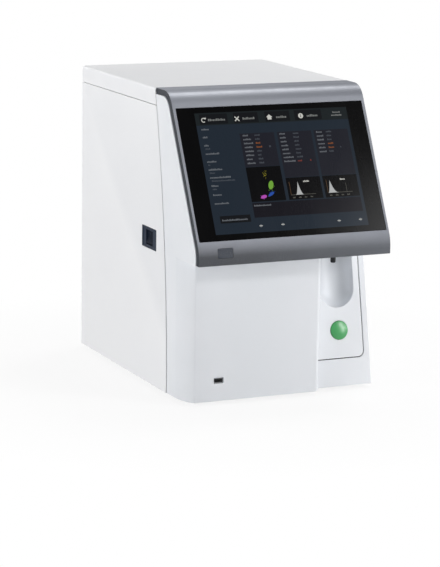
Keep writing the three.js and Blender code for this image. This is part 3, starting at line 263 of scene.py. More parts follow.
# Solids joined, cut or kept in common; the others are used up
def combined(how, piece, others):
    for other in others:
        step = piece.modifiers.new("step", "BOOLEAN")
        step.operation, step.solver, step.object = how, "EXACT", other
    graph = bpy.context.evaluated_depsgraph_get()
    mesh = bpy.data.meshes.new_from_object(piece.evaluated_get(graph))
    piece.modifiers.clear()
    piece.data = mesh
    mesh.name = piece.name
    for other in others:
        bpy.data.objects.remove(other)
    return tidied(piece, flat=math.radians(0.3))


def joined(piece, *others):
    return combined("UNION", piece, others)


def carved(piece, *others):
    return combined("DIFFERENCE", piece, others)


def shared(piece, *others):
    return combined("INTERSECT", piece, others)


# Solids that stay apart but belong to one piece become one mesh
def gathered(name, parts):
    whole = bmesh.new()
    for part in parts:
        whole.from_mesh(part.data)
        bpy.data.objects.remove(part)
    mesh = bpy.data.meshes.new(name)
    whole.to_mesh(mesh)
    whole.free()
    return linked(name, mesh)


# Rounds the edges that turn by more than an angle, where a test of their middles allows it
def softened(piece, width, segments=3, where=None, turn=34.0):
    work = bmesh.new()
    work.from_mesh(piece.data)
    edges = [e for e in work.edges if len(e.link_faces) == 2 and e.calc_face_angle(0) > math.radians(turn)]
    if where is not None and edges:
        middles = np.array([(e.verts[0].co + e.verts[1].co) / 2 for e in edges]) * 1000 - caseShift
        edges = [e for e, wanted in zip(edges, where(middles)) if wanted]
    bmesh.ops.bevel(
        work, geom=edges, offset=width / 1000, offset_type="OFFSET", segments=segments,
        profile=0.5, affect="EDGES", clamp_overlap=False,
    )
    work.to_mesh(piece.data)
    work.free()
    return piece


# The last step of every piece: smooth shading with sharp edges kept, its finish, the nodes that it
# stands for and its body; the slot that it is given is not used
def finished(piece, finish, slot, *stands, body="housing", turn=32.0):
    piece.data.shade_smooth()
    piece.data.set_sharp_from_angle(angle=math.radians(turn))
    weigh = piece.modifiers.new("weighted", "WEIGHTED_NORMAL")
    weigh.keep_sharp = True
    piece.data.materials.clear()
    piece.data.materials.append(finishes[finish])
    if stands:
        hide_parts(*stands)
    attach(piece, body)
    return piece


# A leaning frame: x across, y up the slope and z out of it
def slopeFrame(origin, lean):
    axes = np.array([[1, 0, 0], [0, math.sin(lean), math.cos(lean)], [0, -math.cos(lean), math.sin(lean)]])
    return lambda points: np.asarray(origin, float) + np.asarray(points, float) @ axes


# Carries a drawing's x, y and depth onto an upright face: x across, y up, and depth towards the rear
def standing(x, y, z):
    return lambda p: np.stack([x + p[:, 0], y + p[:, 2], z + p[:, 1]], -1)


# Finishes
finishes = {}


# Screen colours of 0 to 255 as the shader wants them
def shade(red, green, blue):
    c = np.array([red, green, blue]) / 255
    c = np.where(c <= 0.04045, c / 12.92, ((c + 0.055) / 1.055) ** 2.4)
    return (*c.tolist(), 1.0)


# Each input of a node is linked where another node's output is given, and set otherwise
def fed(node, inputs):
    for socket, value in inputs.items():
        if isinstance(value, bpy.types.NodeSocket):
            node.id_data.links.new(value, node.inputs[socket])
        else:
            node.inputs[socket].default_value = value
    return node


# A new node in the tree that a node or socket beside it belongs to
def wired(beside, kind, inputs, **settings):
    node = beside.id_data.nodes.new("ShaderNode" + kind)
    for name, value in settings.items():
        setattr(node, name, value)
    return fed(node, inputs)


def newFinish(name, sockets):
    material = finishes[name] = bpy.data.materials.new(name)
    material.use_nodes = True
    shader = fed(material.node_tree.nodes["Principled BSDF"], sockets)
    return shader, wired(shader, "TexCoord", {}).outputs["Object"]


def mapped(place, **change):
    return wired(place, "Mapping", {"Vector": place, **change}).outputs["Vector"]


def noise(place, scale, detail=3.0, rough=0.5):
    inputs = {"Vector": place, "Scale": scale, "Detail": detail, "Roughness": rough}
    return wired(place, "TexNoise", inputs).outputs["Fac"]


def ranged(value, low, high, start=0.3, end=0.7):
    inputs = {"Value": value, "From Min": start, "From Max": end, "To Min": low, "To Max": high}
    return wired(value, "MapRange", inputs).outputs["Result"]


def blended(share, first, second, how="MIX"):
    mix = wired(share, "Mix", {}, data_type="RGBA", blend_type=how)
    return fed(mix, {0: share, 6: first, 7: second}).outputs[2]


def calculated(how, first, second):
    return wired(first, "Math", {0: first, 1: second}, operation=how).outputs[0]


# The shader gets its colour, polish and bumps, each bump being a height, its strength and its depth
def painted(shader, colour, polish, *bumps):
    fed(shader, {"Base Color": colour, "Roughness": polish})
    below = {}
    for height, strength, deep in bumps:
        bump = wired(shader, "Bump", {"Height": height, "Strength": strength, "Distance": deep, **below})
        below = {"Normal": bump.outputs["Normal"]}
    fed(shader, below)


# Two tones that drift into each other over the surface, with a fine skin, uneven polish and worn edges
def skinFinish(name, tones, drift, grain, polish, strength, sockets=None, wear=0.0, deep=0.00006):
    shader, place = newFinish(name, sockets or {})
    first, second = shade(*tones[0]), shade(*tones[1])
    fine = noise(place, grain, 2.0, 0.6)
    colour = blended(ranged(noise(place, drift, 2.0), 0.0, 1.0), first, second)
    colour = blended(ranged(fine, 0.0, 0.12), colour, first, "MULTIPLY")
    if wear:
        edge = wired(shader, "NewGeometry", {}).outputs["Pointiness"]
        colour = blended(ranged(edge, 0.0, wear, 0.51, 0.6), colour, shade(250, 250, 250))
    smear = noise(place, drift * 9, 4.0, 0.65)
    painted(shader, colour, ranged(smear, *polish), (fine, strength, deep))


# Metal drawn or ground in one direction: fine lines stretched along it, in tone, polish and height
def brushedFinish(name, tones, along, polish, grain):
    shader, place = newFinish(name, {"Metallic": 1.0})
    scale = [grain, grain, grain]
    scale[along] = grain / 40
    lines = noise(mapped(place, Scale=scale), 1.0, 3.0, 0.6)
    colour = blended(ranged(lines, 0.0, 1.0), shade(*tones[0]), shade(*tones[1]))
    painted(shader, colour, ranged(lines, *polish), (lines, 0.15, 0.00003))


# Each row: two tones, the scales of their drift and grain, polish, the skin's strength, the shader's
# own values, wear and the skin's depth
gloss = "Specular IOR Level"
skins = {
    "paintedSteel": [[(227, 228, 231), (231, 232, 234)], 5.0, 800.0, (0.42, 0.52), 0.1, {}, 0.35],
    "whiteMoulding": [[(223, 226, 230), (228, 230, 234)], 6.0, 1600.0, (0.40, 0.50), 0.14, {}, 0.35],
    # Painted reflection: the bezel's flanks are a dark copy of its grey paint, for the dark surroundings they
    # reflect
    "shadedBezelSide": [[(45, 49, 55), (53, 57, 63)], 9.0, 2600.0, (0.44, 0.52), 0.1, {gloss: 0.1}, 0.0, 0.00004],
    "switchPlastic": [[(41, 49, 63), (47, 55, 69)], 40.0, 2200.0, (0.45, 0.55), 0.2, {gloss: 0.06}],
    "rockerPlastic": [[(14, 21, 33), (18, 25, 37)], 60.0, 2600.0, (0.45, 0.55), 0.12, {gloss: 0.02}],
    "blackPlastic": [[(12, 13, 16), (20, 21, 25)], 25.0, 1800.0, (0.4, 0.55), 0.25, {gloss: 0.3}],
    "darkPlastic": [[(33, 36, 43), (42, 45, 52)], 30.0, 1800.0, (0.4, 0.52), 0.2],
    "buttonPlastic": [[(28, 146, 68), (36, 154, 76)], 60.0, 2400.0, (0.34, 0.40), 0.06, {gloss: 1.0}],
    "nylon": [[(214, 214, 208), (226, 226, 220)], 60.0, 1800.0, (0.35, 0.5), 0.12,
              {"Subsurface Weight": 0.1, "Subsurface Radius": (0.002, 0.002, 0.0018)}],
    "readerPlastic": [[(50, 55, 66), (58, 64, 74)], 90.0, 2600.0, (0.22, 0.3), 0.05],
    "rubber": [[(24, 24, 26), (38, 38, 40)], 60.0, 1500.0, (0.75, 0.92), 0.4, {}, 0.0, 0.0001],
    "zincSteel": [[(170, 174, 178), (196, 200, 204)], 180.0, 500.0, (0.32, 0.5), 0.1, {"Metallic": 0.9}],
}
# Each row: two tones, the axis that the lines run along, polish and grain
metals = {
    "aluminium": [[(176, 180, 184), (204, 207, 210)], 1, (0.32, 0.46), 900.0],
    "stainless": [[(186, 188, 191), (216, 218, 220)], 2, (0.16, 0.3), 1400.0],
    "nickel": [[(198, 194, 184), (222, 218, 208)], 1, (0.18, 0.3), 2600.0],
    "gilded": [[(208, 168, 92), (232, 198, 124)], 1, (0.2, 0.3), 3000.0],
}
for skinName, row in skins.items():
    skinFinish(skinName, *row)
for metalName, row in metals.items():
    brushedFinish(metalName, *row)

# The bezel's paint with its painted shade: tones at the left and right ends, and the places in metres where
# it changes
paintAndShade = {
    # Painted shade: the chin's lower edge is painted dark, darkest at the left end and lighter at the right,
    # as the light fell on it
    "low": [(26, 29, 35), (66, 69, 75)],
    # Painted shade: the slope's tone is painted lighter at the left end and darker at the right
    "high": [(126, 129, 137), (106, 109, 117)],
    "drift": [9.0, 2.0, 0.5, 0.10, (100, 104, 112)],
    "flake": [3200.0, 2.0, 0.6, 0.16, (176, 179, 186)],
    "ends": [-0.15, 0.15],
    "chin": [0.228, 0.248],
    "rounding": [0.54, 0.40, 0.41, 0.44],
    "top": [0.0, 0.35, 0.448, 0.4515],
}


# Flaked paint with painted shade: painted darker towards the chin's lower edge and from one end to the other
# as the light falls, and polished along the top edge
def makeShadedBezelPaint():
    shader, place = newFinish("shadedBezelPaint", {"Metallic": 0.3})
    parts = wired(place, "SeparateXYZ", {"Vector": place}).outputs
    # Painted shade from end to end: each tone runs from its left to its right colour
    across = ranged(parts["X"], 0.0, 1.0, *paintAndShade["ends"])
    low, high = (blended(across, *(shade(*tone) for tone in paintAndShade[end])) for end in ("low", "high"))
    # Painted shade: dark at the chin's lower edge, rising to the slope's tone above the chin
    tone = blended(ranged(parts["Z"], 0.0, 1.0, *paintAndShade["chin"]), low, high)
    for name in ("drift", "flake"):
        *scales, share, colour = paintAndShade[name]
        pattern = noise(place, *scales)
        tone = blended(ranged(pattern, 0.0, share), tone, shade(*colour))
    polish = calculated("ADD", ranged(parts["Z"], *paintAndShade["rounding"]), ranged(parts["Z"], *paintAndShade["top"]))
    polish = calculated("ADD", polish, ranged(noise(place, 80.0, 4.0, 0.65), -0.03, 0.04))
    painted(shader, tone, polish, (pattern, 0.08, 0.00004))


# Cast acrylic: slightly grey, with faint waves and a worn polish
def makeAcrylic():
    shader, place = newFinish("acrylic", {"Transmission Weight": 0.55, "IOR": 1.49})
    waves = noise(place, 45.0, 3.0)
    colour = blended(ranged(waves, 0.0, 1.0), shade(204, 212, 218), shade(222, 228, 232))
    painted(shader, colour, ranged(noise(place, 300.0, 4.0), 0.12, 0.26), (waves, 0.05, 0.0001))


# Green solder mask: copper tracks show through as lighter lines of a brick pattern
def makeCircuit():
    shader, place = newFinish("circuit", {})
    tracks = wired(place, "TexBrick", {
        "Vector": mapped(place, Rotation=(0.0, math.radians(90), 0.0)),
        "Scale": 60.0,
        "Mortar Size": 0.03,
        "Color1": shade(22, 84, 50),
        "Color2": shade(26, 94, 56),
        "Mortar": shade(70, 140, 88),
    }).outputs
    weave = noise(place, 1200.0, 2.0)
    colour = blended(ranged(weave, 0.0, 0.25), tracks["Color"], shade(14, 60, 36))
    painted(shader, colour, 0.4, (tracks["Fac"], 0.3, 0.00005), (weave, 0.1, 0.00003))


# Coated cover glass, printed black behind: nearly no reflection, with a trace of wiping marks
def makeGlass(name):
    shader, place = newFinish(name, {gloss: 0.035, "IOR": 1.5})
    marks = noise(mapped(place, Scale=(30.0, 8.0, 8.0)), 1.0, 4.0, 0.7)
    colour = blended(ranged(marks, 0.0, 1.0), shade(2, 2, 3), shade(5, 5, 6))
    painted(shader, colour, ranged(marks, 0.15, 0.19))
    return shader, place


# The lit picture: its colours are an attribute of the little faces that make it up
def makeLitPicture():
    shader, place = makeGlass("litPicture")
    tint = wired(place, "Attribute", {}, attribute_name="tint").outputs["Color"]
    glow = blended(ranged(noise(place, 2400.0, 1.0), 0.0, 0.08), tint, shade(0, 0, 0))
    fed(shader, {"Emission Color": glow, "Emission Strength": 1.0})


makeShadedBezelPaint()
makeAcrylic()
makeCircuit()
makeGlass("coverGlass")
makeLitPicture()
print("finishes made")


# Shapes that several pieces share


# How far back the side seam has swept at a height: a parabola that starts upright
def seamAt(z):
    return case["seamSweep"] * (z / caseHeight) ** 2


def faceAt(z):
    return -leaning["foot"] + z * math.tan(leaning["lean"])


def upFace(z):
    return z / math.cos(leaning["lean"])


# The head and the mouldings beside it narrow steadily from the top of the seam towards the chin
def narrow(points):
    points = points.copy()
    share = (case["seamSweep"] - points[:, 1]) / (case["seamSweep"] + head["front"])
    points[:, 0] *= 1 - head["draft"] * share / case["halfWidth"]
    return points


def seamCutter(name, shift, far):
    z = np.linspace(-beyond, caseHeight + beyond, 41)
    curve = np.stack([seamAt(z) + shift, z], -1)
    outline = np.vstack([curve, [[far, z[-1]], [far, z[0]]]])
    return prism(name, outline, 0, [-case["halfWidth"] - beyond, case["halfWidth"] + beyond])


def behindSeam():
    return seamCutter("behindSeam", 0.0, case["rear"] + beyond)


def aheadOfSeam():
    return seamCutter("aheadOfSeam", case["sideLine"], -head["front"] - beyond)


# A block that cuts off all of the sampling side above a height
def above(z):
    return boxed("above", [0, -200, z], [200, 100, z + 80])


# The head seen from the side, some way inside its surface: top, round to the slope, round to the chin
def headPath(inset, rear, floor):
    lean, radius = head["lean"], head["topRadius"]
    slopeTop = -head["front"] + head["slope"] * math.sin(lean)
    top = [slopeTop + radius * math.tan((math.pi / 2 - lean) / 2), caseHeight - radius]
    turnTo = 180 - math.degrees(lean)
    return np.vstack([
        [[rear, caseHeight - inset]],
        arc(top, [radius - inset] * 2, 90, turnTo, 20),
        arc(chinMiddle, [head["chinRadius"] - inset] * 2, turnTo, 180, 10),
        [[-head["front"] + inset, floor]],
    ])


bezel = {"deep": 8.8, "side": 1.0, "soft": 1.1, "glass": [300.0, 201.0, 3.0], "above": 26.5, "ledge": 4.0,
         "corner": 1.4, "sunk": 0.15}
glassHole = grown(bezel["glass"][:2], -2 * bezel["ledge"])
# From the head's top to the glass's middle, down the slope
glassDown = bezel["above"] + bezel["glass"][1] / 2
screenFrame = slopeFrame(
    [0, -head["front"] + (head["slope"] - glassDown) * math.sin(head["lean"]),
     caseHeight - glassDown * math.cos(head["lean"])],
    head["lean"],
)
faceFrame = slopeFrame([0, -leaning["foot"], 0], leaning["lean"])

# Painted steel covers
panels = {
    "switchHole": [69.4, 220.5, 55.0, 32.2],
    "holeCorner": 1.5,
    "flange": 12.0,
    "flangeFoot": 22.3,
    "skirt": 30.0,
    "coverSoft": 0.7,
    "square": 0.01,
}


def makeSidePanel(name, side, node):
    half, sheet = case["halfWidth"], case["sheet"]
    x = sorted([side * half, side * (half - sheet)])
    top = coverSeam - case["seamLine"]
    panel = prism(name, [[-beyond, 0], [case["rear"], 0], [case["rear"], top], [-beyond, top]], 0, x)
    panel = carved(panel, aheadOfSeam())
    if side < 0:
        y, z, wide, tall = panels["switchHole"]
        hole = rounded(rectangle([y, z], [wide, tall]), panels["holeCorner"])
        panel = carved(panel, prism("hole", hole, 0, [x[0] - beyond, x[1] + beyond]))
    softened(panel, case["edge"])
    inner = sorted([side * (half - sheet * 0.7), side * (half - sheet - panels["flange"])])
    rear = case["rear"] - sheet - case["gap"]
    flange = boxed("flange", [inner[0], rear - sheet, panels["flangeFoot"]], [inner[1], rear, top - sheet])
    finished(joined(panel, flange), "paintedSteel", "white_steel", node)


makeSidePanel("leftSidePanel", -1, "left_side_panel")
makeSidePanel("rightSidePanel", 1, "right_side_panel")


def makeTopCover():
    half, sheet, edge, square = case["halfWidth"], case["sheet"], case["coverEdge"], panels["square"]
    low = coverSeam - panels["skirt"]
    middle, tall = (low + caseHeight) / 2, caseHeight - low
    outer = rounded(rectangle([middle, 0], [tall, 2 * half]), [square, edge, edge, square], 8)
    inner = rectangle([middle - sheet, 0], [tall, 2 * (half - sheet)])
    inner = rounded(inner, [square, edge - sheet, edge - sheet, square])
    cover = prism("topCover", outer, 1, [-beyond, case["rear"]])
    under = boxed("under", [-200, -clear, low - 50], [200, case["rear"] + clear, coverSeam])
    cover = carved(cover, under, aheadOfSeam())

    def sparesTopRear(p):
        return (p[:, 1] < case["rear"] - 1) | (p[:, 2] < caseHeight - 1)

    softened(cover, panels["coverSoft"], where=sparesTopRear)
    hollow = prism("hollow", inner, 1, [-clear, case["rear"] - sheet])
    finished(carved(cover, hollow), "paintedSteel", "white_steel", "top_cover")


makeTopCover()

rear = {
    "fan": [-70.0, 330.0, 38.0],
    "inlet": [-96.0, 44.0, 30.6, 22.6],
    "ports": [18.0, 52.0, 86.0],
    "portZ": 60.0,
    "portHole": 5.0,
    "vents": {"middle": 84.0, "wide": 92.0, "tall": 4.0, "pitch": 12.0, "count": 7, "drop": 99.0},
    "screws": [[-146, 16], [0, 16], [146, 16], [-146, 212], [146, 212], [-146, 408], [0, 408], [146, 408]],
    "screw": [3.2, 1.6],
    "soft": 0.3,
}


def makeRearPanel():
    half = case["halfWidth"] - case["sheet"] - case["gap"]
    y = [case["rear"] - case["sheet"], case["rear"]]
    top = coverSeam - case["seamLine"]
    panel = prism("rearPanel", [[0, -half], [top, -half], [top, half], [0, half]], 1, y)
    x, z, wide, tall = rear["inlet"]
    holes = [circle([rear["fan"][1], rear["fan"][0]], rear["fan"][2]), rectangle([z, x], [tall, wide])]
    holes += [circle([rear["portZ"], portX], rear["portHole"], 32) for portX in rear["ports"]]
    slots = rear["vents"]
    for i in range(slots["count"]):
        middle = [coverSeam - slots["drop"] - i * slots["pitch"], slots["middle"]]
        holes.append(rounded(rectangle(middle, [slots["tall"], slots["wide"]]), slots["tall"] / 2 - 0.01))
    panel = carved(panel, *[prism("hole", hole, 1, [y[0] - beyond, y[1] + beyond]) for hole in holes])
    softened(panel, rear["soft"], 2)
    finished(panel, "paintedSteel", "white_steel", "rear_panel")


makeRearPanel()


# Pan heads with a cross recess: a low dome of revolution, cut by two slots
def makeScrews(name, places, y, radius, tall):
    t = np.linspace(0, math.pi / 2, 7)
    dome = np.stack([radius * np.cos(t) ** 0.6, tall * np.sin(t)], -1)
    profile = np.vstack([[[0, 0]], dome[:-1], [[0, tall]]])
    wide, long = radius * 0.22, radius * 1.1
    low, high = y + tall * 0.45, y + tall + 1
    heads = []
    for x, z in places:
        screw = turned("screw", profile, sides=28, reshape=standing(x, y, z))
        heads.append(carved(
            screw,
            boxed("slot", [x - wide, low, z - long / 2], [x + wide, high, z + long / 2]),
            boxed("slot", [x - long / 2, low, z - wide], [x + long / 2, high, z + wide]),
        ))
    finished(gathered(name, heads), "nickel", "stainless")


makeScrews("rearScrews", rear["screws"], case["rear"], *rear["screw"])
print("steel covers built")

# White front casing
usb = {"x": -104.0, "z": 30.6, "wide": 14.6, "tall": 7.2, "slack": 1.4}
sleeve = {
    "middle": [107.0, faceAt(head["chin"]) + 0.24],
    "radius": 4.0,
    "flange": 7.5,
    "thick": 2.5,
    "bore": 1.5,
    "drop": 27.5,
}
fascia = {
    "x": [60.3, 145.5],
    "foot": 41.5,
    "thick": 3.0,
    "corner": 9.0,
    "joint": 1.3,
    "scoop": {"x": 107.0, "z": 143.8, "radius": 28.3, "deep": 24.0, "wall": 2.5, "rim": 1.2, "high": 90.0},
    "button": {"z": 82.3, "radius": 14.2, "dome": 3.4, "lip": 1.8, "clear": 0.3},
    # How deep the dark strip in the joint lies: painted shade
    "jointShade": [-2.8, -1.8],
}


# The block from above, some way inside its surface:
# side, elliptic corner, crease, front and round right edge
def blockPlan(inset):
    start, turn = block["cornerStart"], block["cornerTurn"]
    side = narrow(np.array([[-casingHalf, seamFar, 0.0], [-casingHalf, -start, 0.0]]))[:, :2]
    side[:, 0] += inset
    wide, front, right = block["cornerWide"] - inset, block["front"] - inset, block["right"] - inset
    deep = (front - start) / math.sin(turn)
    corner = arc([side[1, 0] + wide, -start], [wide, deep], 180, 180 + math.degrees(turn), 20)
    plan = np.vstack([side[:1], corner, [[right, -front], [right, seamFar]]])
    radii = np.zeros(len(plan))
    radii[len(corner)] = max(block["crease"] - inset, 0.0)
    radii[-2] = block["edge"] - inset
    return rounded(plan, radii + point, 8)


def headSolid(inset, floor, half):
    outline = np.vstack([headPath(inset, seamFar, floor), [[seamFar, floor]]])
    return prism("headSolid", outline, 0, [-half, half], narrow)


def wedge(inset, span, z):
    outline = [[seamFar, z[0]], [faceAt(z[0]) + inset, z[0]], [faceAt(z[1]) + inset, z[1]], [seamFar, z[1]]]
    return prism("wedge", outline, 0, span, narrow)


# The fascia's outline in the leaning face, grown by the width of the joint round it
def fasciaOutline(grow, left):
    right, low = fascia["x"][1] + grow, upFace(fascia["foot"]) - grow
    high = upFace(head["chin"]) + 40
    return rounded(
        [[left, low], [right, low], [right, high], [left, high]],
        [point, fascia["corner"] + grow, point, point], 12)


def makeFrontCasing():
    wall, chin = case["wall"], head["chin"]
    inset = bezel["deep"] + case["gap"]
    right = wedge(0, [block["right"] - wall, casingHalf], [0, chin])
    opening = fasciaOutline(fascia["joint"], block["right"] - 20)
    casing = joined(
        prism("frontCasing", blockPlan(0), 2, [0, chin]),
        carved(right, prism("opening", opening, 2, [-2 * wall, beyond], faceFrame)),
        headSolid(inset, chin, casingHalf),
    )
    slack = usb["slack"]
    casing = carved(
        casing,
        slab("window", glassHole, 0, [-inset - 2 * wall, beyond], screenFrame),
        slab("socket", [usb["wide"] + slack, usb["tall"] + slack], 1.0, [0, 8],
             standing(0, -block["front"] - beyond, 0), [usb["x"], usb["z"]]),
        behindSeam(),
    )
    softened(casing, 0.8)
    hollow = [
        headSolid(inset + wall, chin + wall, casingHalf - wall),
        prism("hollow", blockPlan(wall), 2, [wall, chin + wall + 1]),
        wedge(wall, [block["right"] - wall - 1, casingHalf - wall], [wall, chin + wall + 1]),
        disc("hollow", sleeve["middle"], sleeve["flange"] + case["gap"], [chin - clear, chin + clear]),
    ]
    finished(carved(casing, *hollow), "whiteMoulding", "white_moulding", "front_casing")


makeFrontCasing()
print("front casing built")


# Sampling fascia with its scooped recess


# The scoop: a half ellipsoid below, and an elliptic tube from its middle up to the ceiling
def scoopSolid(grow):
    shape = fascia["scoop"]
    wide, deep, high = shape["radius"] + grow, shape["deep"] + grow, shape["high"]
    t = np.linspace(0, math.pi / 2, 17)
    profile = np.stack([[*np.sin(t), 1.0, 0.0], [*(-wide * np.cos(t)), high, high]], -1)

    def place(p):
        up = upFace(shape["z"]) + p[:, 2]
        return faceFrame(np.stack([shape["x"] + wide * p[:, 0], up, deep * p[:, 1]], -1))

    return turned("scoop", profile, sides=72, reshape=place)


def makeSamplingFascia():
    shape, button = fascia["scoop"], fascia["button"]
    thick, top = fascia["thick"], head["chin"] - case["gap"]
    plate = prism("samplingFascia", fasciaOutline(0, fascia["x"][0]), 2, [-thick, 0], faceFrame)
    behind = slab(
        "behind", [120, 400], 0, [-shape["deep"] - clear, -thick / 2], faceFrame, [shape["x"], 200])
    body = joined(plate, shared(scoopSolid(shape["wall"]), behind))
    hole = disc(
        "hole", [shape["x"], upFace(button["z"])], button["radius"] + button["clear"],
        [-thick - beyond, beyond], faceFrame, 96)
    body = carved(body, above(top), hole, carved(scoopSolid(0), above(top - thick)))

    def proud(p):
        out = np.array([0, -math.cos(leaning["lean"]), math.sin(leaning["lean"])])
        return (p - [0, -leaning["foot"], 0]) @ out

    def onRim(p):
        across = np.abs(p[:, 0] - shape["x"]) < shape["radius"] + 0.3
        return (np.abs(proud(p)) < 0.02) & across & (p[:, 2] > shape["z"] - 40)

    softened(body, shape["rim"], 4, onRim)
    softened(body, 0.5, 3, lambda p: ~onRim(p) & (proud(p) > -0.02))
    wide = sleeve["radius"] + case["gap"]
    body = carved(body, disc("hole", sleeve["middle"], wide, [shape["z"], top + 5], sides=32))
    finished(body, "whiteMoulding", "white_moulding", "sampling_fascia")


makeSamplingFascia()


# The start button: a cap cut from a large ball, whose arc is turned about the stem
def makeStartButton():
    button = fascia["button"]
    radius, lip, dome = button["radius"], button["lip"], button["dome"]
    ball = (radius ** 2 + dome ** 2) / (2 * dome)
    t = np.linspace(math.asin((radius - 0.25) / ball), 0, 16)
    cap = np.stack([ball * np.sin(t), 1.0 + dome - ball * (1 - np.cos(t))], -1)
    back = rounded(
        [[0, -11], [3, -11], [3, -8], [radius - 1.5, -8], [radius - 1.5, -4.8],
         [radius + lip, -4.8], [radius + lip, -3.3], [radius, -3.3]],
        [point, 0.4, point, 0.6, point, 0.5, 0.5, point], 3)
    profile = np.vstack([back, [[radius, 0.8]], cap])
    profile[-1, 0] = 0.0
    middle = [fascia["scoop"]["x"], upFace(button["z"])]
    cap = turned("startButton", profile, middle, reshape=faceFrame)
    finished(cap, "buttonPlastic", "green_plastic", "start_button", body="start_button_cap", turn=40)


makeStartButton()


# The wash sleeve: a tube with a chamfered tip and a flange that rests on the casing's roof
def makeWashSleeve():
    chin, wide, flange, bore = head["chin"], sleeve["radius"], sleeve["flange"], sleeve["bore"]
    tip, roof = chin - sleeve["drop"], chin + sleeve["thick"]
    profile = rounded(
        [[bore, tip], [wide - 0.8, tip], [wide, tip + 1.6], [wide, chin], [flange, chin], [flange, roof],
         [bore, roof]],
        [0.3, 0.5, 0.5, 0.2, 0.4, 0.4, 0.3], 4)
    tube = turned("washSleeve", profile, sleeve["middle"], 64, True)
    finished(tube, "blackPlastic", "black_plastic", "wash_sleeve")


makeWashSleeve()
print("sampling side built")

# The bezel, its glass and the reader window
reader = {"x": -112.0, "rise": 17.5, "size": [23.4, 13.6], "corner": 1.4, "thick": 1.5, "proud": 0.4}
readerTilt = math.asin((head["chin"] + reader["rise"] - chinMiddle[1]) / head["chinRadius"])
readerOut = head["chinRadius"] - reader["proud"]
readerFrame = slopeFrame(
    [reader["x"], chinMiddle[0] - readerOut * math.cos(readerTilt),
     chinMiddle[1] + readerOut * math.sin(readerTilt)],
    readerTilt,
)


def makeBezel():
    *size, thick = bezel["glass"]
    half, chin, gap = casingHalf - bezel["side"], head["chin"], case["gap"]
    far = case["seamSweep"] + case["seamLine"]
    outline = np.vstack([headPath(0, far, chin), headPath(bezel["deep"], far, chin)[::-1]])
    band = carved(
        prism("bezelFrame", outline, 0, [-half, half], narrow),
        behindSeam(),
        slab("seat", grown(size, 2 * gap), bezel["corner"], [-thick - gap, 5], screenFrame),
        slab("window", glassHole, 0, [-20, 5], screenFrame),
        slab("pocket", grown(reader["size"], 2 * gap), 1.6, [-reader["thick"] - gap, 5], readerFrame),
    )
    softened(band, bezel["soft"], 4, lambda p: np.abs(p[:, 0]) > half - 4)
    softened(band, 0.5)
    finished(band, "shadedBezelPaint", "grey_bezel", "bezel_frame")
    # Painted reflection: faces that look sideways take the dark copy of the bezel's paint
    band.data.materials.append(finishes["shadedBezelSide"])
    normals = np.empty(3 * len(band.data.polygons), np.float32)
    band.data.polygons.foreach_get("normal", normals)
    shadedSides = np.abs(normals.reshape(-1, 3)[:, 0]) > 0.8
    band.data.polygons.foreach_set("material_index", shadedSides.astype(np.int32))


makeBezel()


def makeScreenGlass():
    *size, thick = bezel["glass"]
    plate = slab("screenGlass", size, 1.2, [-thick - bezel["sunk"], -bezel["sunk"]], screenFrame)
    finished(softened(plate, 0.35), "coverGlass", "black_glass", "screen_glass")


makeScreenGlass()


def makeReaderWindow():
    plate = slab("readerWindow", reader["size"], reader["corner"], [-reader["thick"], 0], readerFrame)
    finished(softened(plate, 0.3), "readerPlastic", "dark_plastic", "reader_window")


makeReaderWindow()
print("bezel and glass built")


